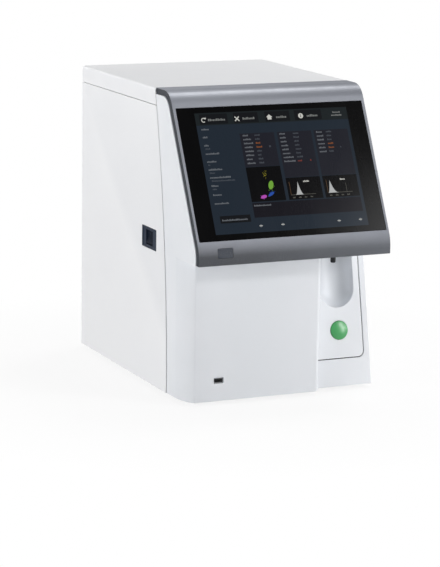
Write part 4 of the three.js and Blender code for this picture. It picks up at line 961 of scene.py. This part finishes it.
# The lit picture: a made-up results page of panels, small bars for words and three plots
picture = {
    "ground": [-122.8, -91.4, 122.8, 91.8],
    "depth": [-0.2, -0.13, 0.02],  # a tile's back, its front on layer 0, and the step from layer to layer
    "tones": {
        "ground": (31, 40, 50), "bar": (26, 32, 34), "button": (17, 19, 22), "panel": (29, 30, 38),
        "plot": (2, 2, 3), "strip": (19, 18, 25), "word": (102, 106, 111), "faint": (70, 75, 82),
        "bright": (196, 196, 190), "heading": (118, 120, 118), "high": (134, 78, 44),
        "alarm": (122, 56, 46), "line": (92, 92, 86), "curve": (176, 178, 178), "marker": (104, 78, 52),
    },
    "panels": [
        ["bar", -122.8, 73.0, 122.8, 91.8],
        ["button", -116.0, 74.5, -72.0, 90.0], ["button", -62.0, 74.5, -23.0, 90.0],
        ["button", -12.0, 74.5, 28.0, 90.0], ["button", 36.0, 74.5, 80.0, 90.0],
        ["panel", -57.5, 7.0, -2.5, 58.0], ["panel", 2.5, -12.0, 58.0, 58.0],
        ["panel", 62.0, -12.0, 118.0, 58.0], ["plot", -57.5, -46.0, -2.5, 6.5],
        ["plot", 2.5, -46.0, 58.0, -12.6], ["plot", 62.0, -46.0, 118.0, -12.6],
        ["strip", -57.5, -69.5, 118.0, -47.6], ["button", -112.0, -75.0, -64.0, -64.0],
    ],
    "words": [
        ["heading", -103, 81, 27, 3.4], ["heading", -48, 81, 18, 3.4], ["heading", 6, 81, 16, 3.4],
        ["heading", 56, 81, 18, 3.4], ["heading", 99, 84.5, 12, 2.4], ["heading", 96, 80, 18],
        ["word", -116, 67, 12], ["word", -116, 55, 7], ["word", -116, 42.5, 8], ["faint", -115, 37.5, 7, 2.2],
        ["word", -116, 30, 22], ["word", -116, 18, 15], ["faint", -115, 13, 4, 2.2], ["word", -116, 6, 21],
        ["faint", -115, 1, 9, 2.2], ["word", -116, -6, 32], ["faint", -114, -11, 36, 2.2],
        ["word", -116, -18.5, 11], ["faint", -115, -23.5, 7, 2.2], ["word", -116, -32, 14],
        ["word", -116, -45, 23], ["word", -109, -70.5, 41], ["word", -55, -51.5, 27, 2.4],
        ["bright", 30, -19, 9], ["bright", 90, -19, 8],
    ],
    "lists": [
        {"x": [-53, -34], "rows": 8, "label": [9, 13, 14, 13, 13, 12, 10, 13], "flag": -14},
        {"x": [6, 28], "rows": 8, "label": [9, 10, 9, 10, 10, 13, 17, 18], "flag": 48},
        {"x": [66, 82], "rows": 6, "label": [9, 10, 10, 11, 11, 11], "flag": 101},
    ],
    "row": [55, 6.05, 2.5],  # a list's first line, the step between lines and their height
    "marked": {(0, 2): "high", (0, 3): "high", (2, 3): "high", (2, 4): "high", (1, 7): "alarm"},
    "flagged": [(0, 3), (1, 7), (2, 4)],
    "clouds": [
        [(138, 130, 38), -29, -6, 2.6, 6.0, 0, 0], [(108, 160, 56), -22.5, -22, 3.9, 6.8, -18, 1],
        [(176, 76, 176), -37, -39, 4.9, 2.6, 14, 1], [(38, 76, 160), -24.5, -35.5, 5.6, 2.1, 30, 1],
    ],
    "curves": [[15.0, 20.5, 27.5, 7.0, 47.0], [68.0, 72.5, 84.5, 67.0, 107.0]],
    "axis": -38.8,
    "peak": 19.5,
    "ticks": [-42.8, 9.5, 4.5, 2.0],  # their height on the page, pitch, length and size
}


class Tiles:
    def __init__(self, seed):
        self.points, self.faces, self.tints = [], [], []
        self.rng = np.random.default_rng(seed)

    # One flat tile: an outline carried from inside the glass up to its layer's height
    def add(self, tone, outline, layer):
        back, front, step = picture["depth"]
        first = sum(len(p) for p in self.points)
        flat = np.asarray(outline, float)
        self.points += [np.insert(flat, 2, z, 1) for z in (back, front + step * layer)]
        faces = tubeFaces(2, len(outline))
        self.faces += [[k + first for k in face] for face in faces]
        self.tints += [shade(*picture["tones"].get(tone, tone))] * len(faces)

    # A word: letter-wide bars of uneven height, so that it reads as print and says nothing
    def word(self, tone, x, y, length, tall=2.6):
        end = x + length
        while x < end - 0.8:
            wide = tall * self.rng.uniform(0.42, 0.66)
            rise = tall * self.rng.choice([0.72, 0.72, 1.0])
            self.add(tone, rectangle([x + wide / 2, y - tall / 2 + rise / 2], [wide, rise]), 3)
            x += wide + tall * 0.2


def field(x0, y0, x1, y1):
    return rectangle([(x0 + x1) / 2, (y0 + y1) / 2], [x1 - x0, y1 - y0])


def spun(points, turn, place):
    c, s = math.cos(math.radians(turn)), math.sin(math.radians(turn))
    return points @ np.array([[c, s], [-s, c]]) + place


def drawPage(page):
    page.add("ground", field(*picture["ground"]), 0)
    for tone, *corners in picture["panels"]:
        page.add(tone, field(*corners), 2 if tone == "button" else 1)
    for word in picture["words"]:
        page.word(*word)
    top, step, tall = picture["row"]
    for k, column in enumerate(picture["lists"]):
        for i in range(column["rows"]):
            y = top - step * i
            page.word("word", column["x"][0], y, column["label"][i], tall)
            tone = picture["marked"].get((k, i), "faint")
            page.word(tone, column["x"][1], y, page.rng.uniform(6, 10), tall)
            if (k, i) in picture["flagged"]:
                page.word("faint" if k != 1 else "alarm", column["flag"], y, 2.6, tall)


# A bent arrow, a cross, a house and a disc in the bar, and four small marks in the bottom row
def drawIcons(page):
    bow = [arc([-110, 81], [r, r], 50, 310, 21) for r in (3.6, 2.3)]
    icons = [np.vstack([bow[0], bow[1][::-1]]), [[-109.5, 84.6], [-105.2, 84.6], [-107.2, 81.6]]]
    icons += [spun(rectangle([0, 0], [9.5, 1.7]), turn, [-57, 81]) for turn in (45, -45)]
    icons += [[[-10, 81.4], [-8.2, 81.4], [-8.2, 77.6], [-1.8, 77.6], [-1.8, 81.4], [0, 81.4], [-5, 85.6]],
              circle([46, 81.2], 4.0, 24)]
    for outline in icons:
        page.add("bright", outline, 3)
    page.add("button", rectangle([46, 80.4], [1.2, 3.2]), 4)
    page.add("button", rectangle([46, 83.2], [1.2, 1.0]), 4)
    for x in (-50, -15, 76, 111):
        page.add("bright", rectangle([x, -82], [5.2, 0.9]), 3)
        page.add("word", rounded(rectangle([x, -82], [3.0, 4.0]), 0.8, 3), 2)


# Clouds of dots, then two curves that rise to a peak and fall off, each over its axis
def drawPlots(page):
    for tone, x, y, wide, tall, turn, filled in picture["clouds"]:
        if filled:
            page.add(tone, spun(circle([0, 0], 1, 28) * [wide, tall], turn, [x, y]), 2)
        spots = page.rng.normal(0, 0.62 if filled else 0.5, (26, 2))
        for spot in spun(spots * [wide, tall], turn, [x, y]):
            page.add(tone, circle(spot, 0.42, 6), 3)
    low, (tickY, pitch, *tick) = picture["axis"], picture["ticks"]
    for left, peak, right, foot, end in picture["curves"]:
        x = left + (right - left) * np.linspace(0, 1, 26)
        rise = np.where(x < peak, (x - left) / (peak - left), (right - x) / (right - peak))
        steep = np.where(x < peak, 1.6, 1.5 + (right - peak) / 12)
        height = low + picture["peak"] * rise ** steep
        curve = np.stack([x, height], -1)[::-1]
        page.add("curve", np.vstack([curve, [[left, low - 0.2], [right, low - 0.2]]]), 3)
        page.add("line", rectangle([(foot + end) / 2, low], [end - foot, 0.6]), 2)
        page.add("marker", rectangle([foot, low + 10], [0.5, 20]), 2)
        for k in range(4):
            page.word("line", foot + 2 + pitch * k, tickY, *tick)
    page.add("line", rectangle([98, -32], [0.5, 14]), 2)


def makePicture():
    page = Tiles(7)
    drawPage(page)
    drawIcons(page)
    drawPlots(page)
    sheet = bpy.data.meshes.new("screenPicture")
    placed = (screenFrame(np.vstack(page.points)) + caseShift) / 1000
    sheet.from_pydata(placed.tolist(), [], page.faces)
    tint = sheet.color_attributes.new("tint", "FLOAT_COLOR", "CORNER")
    corners = np.repeat(np.array(page.tints), [len(f) for f in page.faces], axis=0)
    tint.data.foreach_set("color", corners.ravel())
    finished(linked("screenPicture", sheet), "litPicture", "black_glass")


makePicture()
print("picture drawn")


# Small fittings


# A wire in an upright face: a circle carried round a closed path or along an open one with flat ends.
# Each ring of the tube stands square to the path, on two directions made from its tangent.
def wire(name, path, radius, closed, sides=12):
    tangent = np.roll(path, -1, 0) - np.roll(path, 1, 0) if closed else np.gradient(path, axis=0)
    tangent /= np.linalg.norm(tangent, axis=1)[:, None]
    across = np.cross(tangent, [0.0, 1.0, 0.0])
    across /= np.linalg.norm(across, axis=1)[:, None]
    over = np.cross(across, tangent)
    t = np.arange(sides) * 2 * math.pi / sides
    ring = np.cos(t)[None, :, None] * across[:, None, :] + np.sin(t)[None, :, None] * over[:, None, :]
    points = (path[:, None, :] + radius * ring).reshape(-1, 3)
    faces = gridFaces(len(path), sides, True, True) if closed else tubeFaces(len(path), sides)
    return meshObject(name, points, faces)


usbParts = {
    "sunk": 1.3, "wall": 0.5, "deep": 13.0, "tongue": [11.0, 1.8], "contacts": [-3.3, -1.1, 1.1, 3.3],
    "slot": [2.6, 3.2, 9.0],  # its width, and from where to where it runs
    "insert": 3.5,
    "spring": {"x": [-3.2, 3.2], "z": [2.9, 9.4], "dip": 0.55, "half": [0.9, 0.12], "sunk": 0.35},
}


def makeUsb():
    wide, tall, wall, deep = usb["wide"], usb["tall"], usbParts["wall"], usbParts["deep"]
    place = standing(usb["x"], -block["front"] + usbParts["sunk"], usb["z"])
    inner, spring = grown([wide, tall], -2 * wall), usbParts["spring"]
    shell = carved(
        slab("usbShell", [wide, tall], 0.9, [0, deep], place),
        slab("hollow", inner, 0.35, [-1, deep + 1], place))
    slotWide, *run = usbParts["slot"]
    slots = [slab("slot", [slotWide, 2], 0, run, place, [x, y])
             for x in spring["x"] for y in (-tall / 2, tall / 2)]
    parts = [softened(carved(shell, *slots), 0.12, 2)]
    start, end = spring["z"]
    z = np.linspace(start, end, 14)
    dip = spring["dip"] * np.sin(np.pi * (z - start) / (end - start))
    across, thick = spring["half"]
    for x in spring["x"]:
        for side in (-1, 1):
            line = side * (tall / 2 - spring["sunk"] - dip)
            outline = np.vstack([np.stack([line + thick, z], -1), np.stack([line - thick, z], -1)[::-1]])
            parts.append(prism("spring", outline, 0, [x - across, x + across], place))
    finished(gathered("usbShell", parts), "zincSteel", "stainless", "usb_port")
    (tongueWide, thick), face = usbParts["tongue"], deep - usbParts["insert"]
    insert = joined(
        slab("usbInsert", grown(inner, -0.1), 0.3, [face, deep - 0.2], place),
        slab("tongue", [tongueWide, thick], 0, [0.9, face + 0.5], place, [0, 0.1 + thick / 2]))
    finished(softened(insert, 0.15, 2), "blackPlastic", "black_plastic")
    contacts = [slab("contact", [1.0, 0.18], 0, [1.6, face], place, [x, 0.07])
                for x in usbParts["contacts"]]
    finished(gathered("usbContacts", contacts), "gilded", "stainless")


makeUsb()

switch = {
    "y": 69.4,
    "z": 220.5,
    "size": [54.4, 31.6],
    "deep": 22.0,
    "pocket": [25.8, 22.4, 9.0],
    "field": [5.0, 2.0, 0.7],
    "rocker": {"sunk": 1.4, "pivot": 5.0, "thick": 6.0, "dish": 1.1, "tilt": 6.0, "margin": [0.4, 1.5]},
    "corners": [1.2, 1.5, 0.8],
    "mark": {"out": 0.62, "deep": 2.2, "proud": 0.12, "line": [0.7, 3.4], "ring": [1.8, 1.2]},
}


# Points given along the side, up it and into it, on the left face
def onLeft(y, z):
    return lambda p: np.stack([-case["halfWidth"] + p[:, 2], y + p[:, 0], z + p[:, 1]], -1)


def makeSwitchFrame():
    place = onLeft(switch["y"], switch["z"])
    long, tall = switch["size"]
    *pocket, deep = switch["pocket"]
    ends, sides, step = switch["field"]
    outer, inner, pocketCorner = switch["corners"]
    body = carved(
        slab("switchFrame", [long, tall], outer, [0, switch["deep"]], place),
        slab("field", [long - 2 * ends, tall - 2 * sides], inner, [-beyond, step], place),
        slab("pocket", pocket, pocketCorner, [-beyond, deep], place))
    softened(body, 0.45, 3, lambda p: p[:, 0] < -case["halfWidth"] + deep - 1)
    finished(body, "switchPlastic", "dark_plastic", "switch_frame")


makeSwitchFrame()


# The rocker: a face dished by a parabola between two slanted ends, with the usual line and ring on it
def makeRocker():
    shape = switch["rocker"]
    half, up = (switch["pocket"][k] / 2 - shape["margin"][k] for k in (0, 1))
    pivot, tilt = shape["pivot"], math.radians(shape["tilt"])
    middle = np.array([-case["halfWidth"] + shape["sunk"] + pivot, switch["y"], switch["z"]])

    def place(p):
        x, z = p[:, 2], p[:, 1]
        return middle + np.stack(
            [x * math.cos(tilt) + z * math.sin(tilt), p[:, 0], z * math.cos(tilt) - x * math.sin(tilt)], -1)

    s, deep = np.linspace(-1, 1, 25), shape["thick"] - pivot
    face = np.stack([-pivot + shape["dish"] * (1 - s ** 2), up * s], -1)
    section = np.vstack([face, [[deep - 3, up], [deep, up / 2], [deep, -up / 2], [deep - 3, -up]]])
    points = np.vstack([np.insert(section[:, ::-1], 0, x, 1) for x in (-half, half)])
    body = softened(meshObject("switchRocker", place(points), tubeFaces(2, len(section))), 0.5)
    finished(body, "rockerPlastic", "black_plastic", "switch_rocker", body="rocker")
    mark = switch["mark"]
    out, (wide, hole) = mark["out"], mark["ring"]
    low, high = shape["dish"] * (1 - out ** 2) - mark["proud"] - pivot, mark["deep"] - pivot
    line = slab("line", mark["line"], 0.2, [low, high], place, [0, up * out])
    ring = carved(
        disc("ring", [0, -up * out], wide, [low, high], place, 32),
        disc("ring", [0, -up * out], hole, [low - 1, high + 1], place, 32))
    finished(gathered("rockerMarks", [line, ring]), "switchPlastic", "dark_plastic", body="rocker")


makeRocker()

footing = {"radius": 12.0, "low": -6.0, "high": -0.3, "recess": [5.0, 2.5], "x": 109.5,
           "y": {"front": 48.0, "rear": 297.5}}


# Rubber feet: a profile with a screw recess and two grooves in the sole, turned about its axis
def makeFeet():
    radius, low, high = footing["radius"], footing["low"], footing["high"]
    hole, deep = footing["recess"][0], low + footing["recess"][1]
    profile = rounded(
        [[0.0, deep], [hole, deep], [hole, low], [6.6, low], [7.0, low + 0.6], [7.4, low], [8.7, low],
         [9.1, low + 0.6], [9.5, low], [radius - 1.4, low], [radius, low + 1.4], [radius, high],
         [0.0, high]],
        [point, 0.3, 0.4, 0.1, 0.1, 0.1, 0.1, 0.1, 0.1, 0.8, 0.8, 0.5, point], 3)
    for end, y in footing["y"].items():
        for side, x in (("left", -footing["x"]), ("right", footing["x"])):
            foot = turned(f"foot{end.title()}{side.title()}", profile, [x, y], 64)
            finished(foot, "rubber", "rubber", f"foot_{end}_{side}")


makeFeet()


# Painted shade: a dark rubber strip lies in the joint round the fascia, standing in for the shade deep in the
# joint
def makeFasciaJointShade():
    outline = fasciaOutline(fascia["joint"] - 0.05, block["right"] + 0.1)
    jointShade = prism("fasciaSeal", outline, 2, fascia["jointShade"], faceFrame)
    inner = prism("inner", fasciaOutline(0.05, block["right"] - 9), 2, [-4, 2], faceFrame)
    finished(carved(jointShade, inner, above(head["chin"] - 0.1)), "rubber", "rubber")


makeFasciaJointShade()
print("fittings built")

# The back: fan, guard, mains inlet and hose ports
fanX, fanZ, fanBore = rear["fan"]
inletX, inletZ = rear["inlet"][:2]
corners = [(-1, -1), (-1, 1), (1, -1), (1, 1)]  # the signs of x and z
fan = {
    "wide": 80.0,
    "y": [318.7, 343.7],
    "hub": 16.0,
    "strut": 4.0,
    "plate": 3.0,
    "flange": 4.0,
    "holes": [35.75, 2.2],
    "rotorY": [322.0, 339.7],
    "reach": 36.3,
    "blades": 7,
    "chord": [16.0, 20.0],
    "pitch": [50.0, 31.0],
    "sweep": 18.0,
    "lens": [0.75, 0.9],  # a blade's half thickness and its rise
}


def makeFanFrame():
    front, back = fan["y"]
    wide, rim, reach, hole = fan["wide"], fan["flange"], *fan["holes"]
    through, plate = [front - clear, back + clear], [front, front + fan["plate"]]
    place = standing(fanX, 0.0, fanZ)
    pockets = carved(
        slab("middle", [wide + 4] * 2, 0, [front + rim, back - rim], place),
        disc("core", [0, 0], wide / 2 - 0.5, [front, back], place, 96))
    holes = [disc("hole", [sx * reach, sz * reach], hole, through, place, 24) for sx, sz in corners]
    body = carved(
        slab("fanFrame", [wide] * 2, 4.0, [front, back], place), pockets,
        disc("bore", [0, 0], fanBore, through, place, 96), *holes)
    body = joined(
        body,
        disc("hub", [0, 0], fan["hub"], plate, place),
        slab("strut", [wide - 3, fan["strut"]], 0, plate, place),
        slab("strut", [fan["strut"], wide - 3], 0, plate, place))
    finished(softened(body, 0.3, 2), "blackPlastic", "black_plastic", "fan_frame")


makeFanFrame()


# A blade is a thin lens section carried out along the radius: it swings round the axle as it goes,
# its chord grows and its pitch eases from the hub to the tip
def makeFanRotor():
    low, high = fan["rotorY"]
    hub, root, count = fan["hub"], fan["hub"] - 1.0, fan["blades"]
    rings, around = 12, 20
    u = np.linspace(0, 1, rings)[:, None]
    s = (np.arange(around) * 2 * math.pi / around)[None, :]

    def eased(name):
        return fan[name][0] + (fan[name][1] - fan[name][0]) * u

    radius, pitch = root + (fan["reach"] - root) * u, np.radians(eased("pitch"))
    along = eased("chord") / 2 * np.cos(s)
    lift = fan["lens"][0] * np.sin(s) + fan["lens"][1] * (1 - np.cos(s) ** 2)
    swing = (along * np.cos(pitch) - lift * np.sin(pitch)) / radius + math.radians(fan["sweep"]) * u ** 1.5
    y = (low + high) / 2 + along * np.sin(pitch) + lift * np.cos(pitch)
    parts = []
    for i in range(count):
        angle = swing + 2 * math.pi * i / count
        points = np.stack([fanX + radius * np.sin(angle), y, fanZ + radius * np.cos(angle)], -1)
        parts.append(meshObject("blade", points, tubeFaces(rings, around)))
    cup = rounded(
        [[0.0, low], [hub, low], [hub, high], [7, high], [6.4, high - 0.8], [0.0, high - 0.8]],
        [point, 0.6, 2.2, 0.4, 0.4, point], 5)
    parts.append(turned("hub", cup, sides=64, reshape=standing(fanX, 0, fanZ)))
    finished(gathered("fanRotor", parts), "blackPlastic", "black_plastic", "fan_rotor", body="fan_wheel")


makeFanRotor()
guard = {
    "y": 346.8,
    "wire": 0.85,
    "rings": [10.0, 19.7, 29.4, 38.9],
    "eye": 3.0,
    "layer": 0.1,
    "screw": [3.6, 1.7],
}


def makeFanGuard():
    place, thick, eye, layer = standing(fanX, guard["y"], fanZ), guard["wire"], guard["eye"], guard["layer"]

    def hoop(name, middle, radius, sides, deep):
        return wire(name, place(np.insert(circle(middle, radius, sides), 2, deep, 1)), thick, True)

    parts = [hoop("ring", [0, 0], radius, 96, layer) for radius in guard["rings"]]
    reach = fan["holes"][0]
    start, stop = guard["rings"][0] * 0.6, reach - eye * 0.72
    for sx, sz in corners:
        path = np.linspace([sx * start, sz * start, -layer], [sx * stop, sz * stop, -layer], 8)
        parts.append(wire("spoke", place(path), thick, False))
        parts.append(hoop("eye", [sx * reach, sz * reach], eye, 32, -layer))
    finished(gathered("fanGuard", parts), "stainless", "stainless", "fan_guard", turn=60)


makeFanGuard()
fanScrews = [[fanX + sx * fan["holes"][0], fanZ + sz * fan["holes"][0]] for sx, sz in corners]
makeScrews("fanScrews", fanScrews, guard["y"] + 0.4, *guard["screw"])
mains = {
    "y": 345.8,
    "flange": [50.0, 28.0, 3.0],
    "body": [30.0, 22.0],
    "hole": [24.4, 16.8, 17.0],
    "cut": 4.6,
    "pins": [[-7, -2], [0, 2], [7, -2]],
    "screws": 20.0,
    "sink": [3.4, 1.6],
    "screw": [3.0, 1.5],
}


# The appliance inlet: a flange with two screws, a shrouded hole with two cut corners, and three blades
def makeMainsInlet():
    place = standing(inletX, mains["y"], inletZ)
    *size, thick = mains["flange"]
    holeWide, holeTall, deep = mains["hole"]
    floor, (sink, sinkDeep) = thick - deep, mains["sink"]
    flange = softened(slab("mainsInlet", size, 3.5, [0, thick], place), 0.6)
    a, b, c = holeWide / 2, holeTall / 2, mains["cut"]
    hole = rounded([[-a, -b], [a, -b], [a, b - c], [a - c, b], [c - a, b], [-a, b - c]], 1.0)
    inlet = carved(
        joined(flange, slab("body", mains["body"], 1.5, [floor - 11, 0.3], place)),
        prism("hole", hole, 2, [floor, thick + beyond], place),
        *[disc("sink", [side * mains["screws"], 0], sink, [thick - sinkDeep, thick + beyond], place, 32)
          for side in (-1, 1)])
    softened(inlet, 0.35, 3,
             lambda p: (p[:, 1] > mains["y"] + thick - 0.1) & (np.abs(p[:, 0] - inletX) < a + 1))
    finished(inlet, "blackPlastic", "black_plastic", "mains_inlet")
    pins = [softened(slab("pin", [2, 4], 0.3, [floor - 1, thick - 5], place, pin), 0.25, 2)
            for pin in mains["pins"]]
    finished(gathered("inletPins", pins), "nickel", "stainless")


makeMainsInlet()
makeScrews(
    "inletScrews", [[inletX + side * mains["screws"], inletZ] for side in (-1, 1)],
    mains["y"] + mains["flange"][2] - mains["sink"][1], *mains["screw"])
hose = {"y": 345.8, "flange": 4.0, "radius": 7.0, "barb": 3.2, "bore": 1.6, "tip": 357.5, "tail": 333.4}


# A hose port: a six-sided nut with turned corners, and a stem whose barbs rise slowly and drop steeply
def makePort(name, x, node):
    place = standing(x, 0, rear["portZ"])
    high, low, barb, bore, foot = hose["tip"], hose["tail"], hose["barb"], hose["bore"], hose["y"]
    start = foot + hose["flange"]
    pitch = (high - start) / 3
    steps = []
    for i in range(3):
        base = start + i * pitch
        steps += [[barb - 0.9, base + 0.15], [barb, base + 0.35], [barb - 0.75, base + pitch]]
    profile = np.array([[bore, low], [barb, low], [barb, start], *steps, [bore, high]])
    stem = turned(name, rounded(profile, 0.12, 2), sides=48, closed=True, reshape=place)
    nut = disc("nut", [0, 0], hose["radius"], [foot, start], place, 6)
    cone = [[0.0, foot - 1], [9.0, foot - 1], [9.0, start - 2.0], [5.6, start], [0.0, start]]
    nut = shared(nut, turned("cone", cone, sides=64, reshape=place))
    hole = [[0.0, low - 1], [barb - 0.2, low - 1], [barb - 0.2, start + 1], [0.0, start + 1]]
    nut = softened(carved(nut, turned("bore", hole, sides=48, reshape=place)), 0.25, 2)
    finished(joined(stem, nut), "nylon", "clear_plastic", node)


for portX, portName in zip(rear["ports"], ("waste", "lyse", "diluent")):
    makePort(portName + "Port", portX, portName + "_port")
print("back built")

# Finishes of the nodes that keep their own solids
nodeFinishes = {
    "zincSteel": ["base_tray", "centre_bulkhead", "display_module", "screen_bracket", "power_supply"],
    "blackPlastic": ["button_switch", "traverse_motor", "lift_motor", "laser_module", "scatter_detector",
                     "syringe_actuator", "pressure_pump"],
    "aluminium": ["traverse_block", "traverse_pulley", "traverse_idler", "lift_pulley", "lift_idler",
                  "lift_carrier", "lift_block", "optical_bench"],
    "stainless": ["lift_rail", "sample_probe"],
    "nickel": ["traverse_rail"],
    "rubber": ["traverse_belt", "lift_belt"],
    "darkPlastic": ["syringe_plunger"],
    "acrylic": ["counting_bath", "flow_cell", "syringe_body", "valve_manifold", "waste_chamber"],
    "circuit": ["main_board"],
}
for finishName, nodeNames in nodeFinishes.items():
    for nodeName in nodeNames:
        node = bpy.data.objects[nodeName]
        if not node.material_slots:
            node.data.materials.append(finishes[finishName])
        for materialSlot in node.material_slots:
            materialSlot.material = finishes[finishName]
print("nodes dressed:", sum(map(len, nodeFinishes.values())))

# Floor, light and the white surround
studio = {
    "white": 1.0,
    "ambient": 0.05,
    "aim": [0, 0, 220],
    "floor": [0.0, 0.6, 1.2, 2.0],
    "pale": [0.84, 1.0, 0.20, 0.6],  # the floor's glow under the object and far off, and where it changes
}
lamps = {
    "key": [[1430, -1777, 1555], 480, "DISK", 17.0],
    "front": [[1885, -1885, 660], 1150, "DISK", 28.5],
    "right": [[2500, -700, 500], 500, "DISK", 5.0],
    "side": [[-2400, -500, 800], 1200, "SQUARE", 34.0],
    "top": [[960, 560, 2500], 1000, "SQUARE", 25.0],
    "rear": [[-900, 2200, 1300], 1400, "SQUARE", 13.0],
    "back": [[-400, 2600, 700], 1400, "SQUARE", 11.0],
}


# 1 for what the camera sees straight, mirrored or through glass, and 0 for the light on the object
def seenDirectly(beside):
    path = wired(beside, "LightPath", {}).outputs
    share = path["Is Camera Ray"]
    for other in ("Is Glossy Ray", "Is Transmission Ray"):
        share = calculated("MAXIMUM", share, path[other])
    return share


def makeWorld():
    world = bpy.context.scene.world = bpy.data.worlds.new("studio")
    world.use_nodes = True
    tree = world.node_tree
    soft = fed(tree.nodes["Background"], {"Color": shade(250, 251, 255), "Strength": studio["ambient"]})
    white = wired(tree, "Background", {"Color": (1.0, 1.0, 1.0, 1.0), "Strength": studio["white"]})
    mix = wired(tree, "MixShader", {"Fac": seenDirectly(tree), 1: soft.outputs[0], 2: white.outputs[0]})
    fed(tree.nodes["World Output"], {"Surface": mix.outputs[0]})


def makeLamp(name, place, size, shape, watts):
    data = bpy.data.lights.new(name, "AREA")
    data.shape, data.size, data.energy = shape, size / 1000, watts
    place = Vector(place) / 1000
    aim = Vector(studio["aim"]) / 1000 - place
    turn = aim.to_track_quat("-Z", "Y").to_matrix().to_4x4()
    linked(name, data).matrix_world = Matrix.Translation(place) @ turn


# The floor stays pale under the shadow: a wide disc that fades into the white surround
def makeFloor():
    angle = np.arange(96) * 2 * math.pi / 96
    radius = np.array(studio["floor"])[:, None]
    points = np.stack([radius * np.cos(angle), radius * np.sin(angle), 0 * radius * angle], -1)
    mesh = bpy.data.meshes.new("floor")
    faces = gridFaces(len(radius), 96, closeColumns=True).tolist()
    mesh.from_pydata(points.reshape(-1, 3).tolist(), [], faces)
    floor = tidied(linked("floor", mesh))
    sockets = {"Roughness": 0.9, "Base Color": shade(252, 252, 252), gloss: 0.0}
    shader, place = newFinish("floorWhite", sockets)
    glow = wired(place, "Emission", {"Strength": 1.0})
    length = wired(place, "VectorMath", {0: place}, operation="LENGTH").outputs["Value"]
    share = calculated("MULTIPLY", ranged(length, *studio["pale"]), seenDirectly(place))
    mix = wired(place, "MixShader", {"Fac": share, 1: shader.outputs[0], 2: glow.outputs[0]})
    fed(shader.id_data.nodes["Material Output"], {"Surface": mix.outputs[0]})
    mesh.materials.append(finishes["floorWhite"])


makeWorld()
for lampName, lamp in lamps.items():
    makeLamp(lampName, *lamp)
makeFloor()
bpy.context.scene.view_settings.view_transform = "Standard"
print("studio lit")
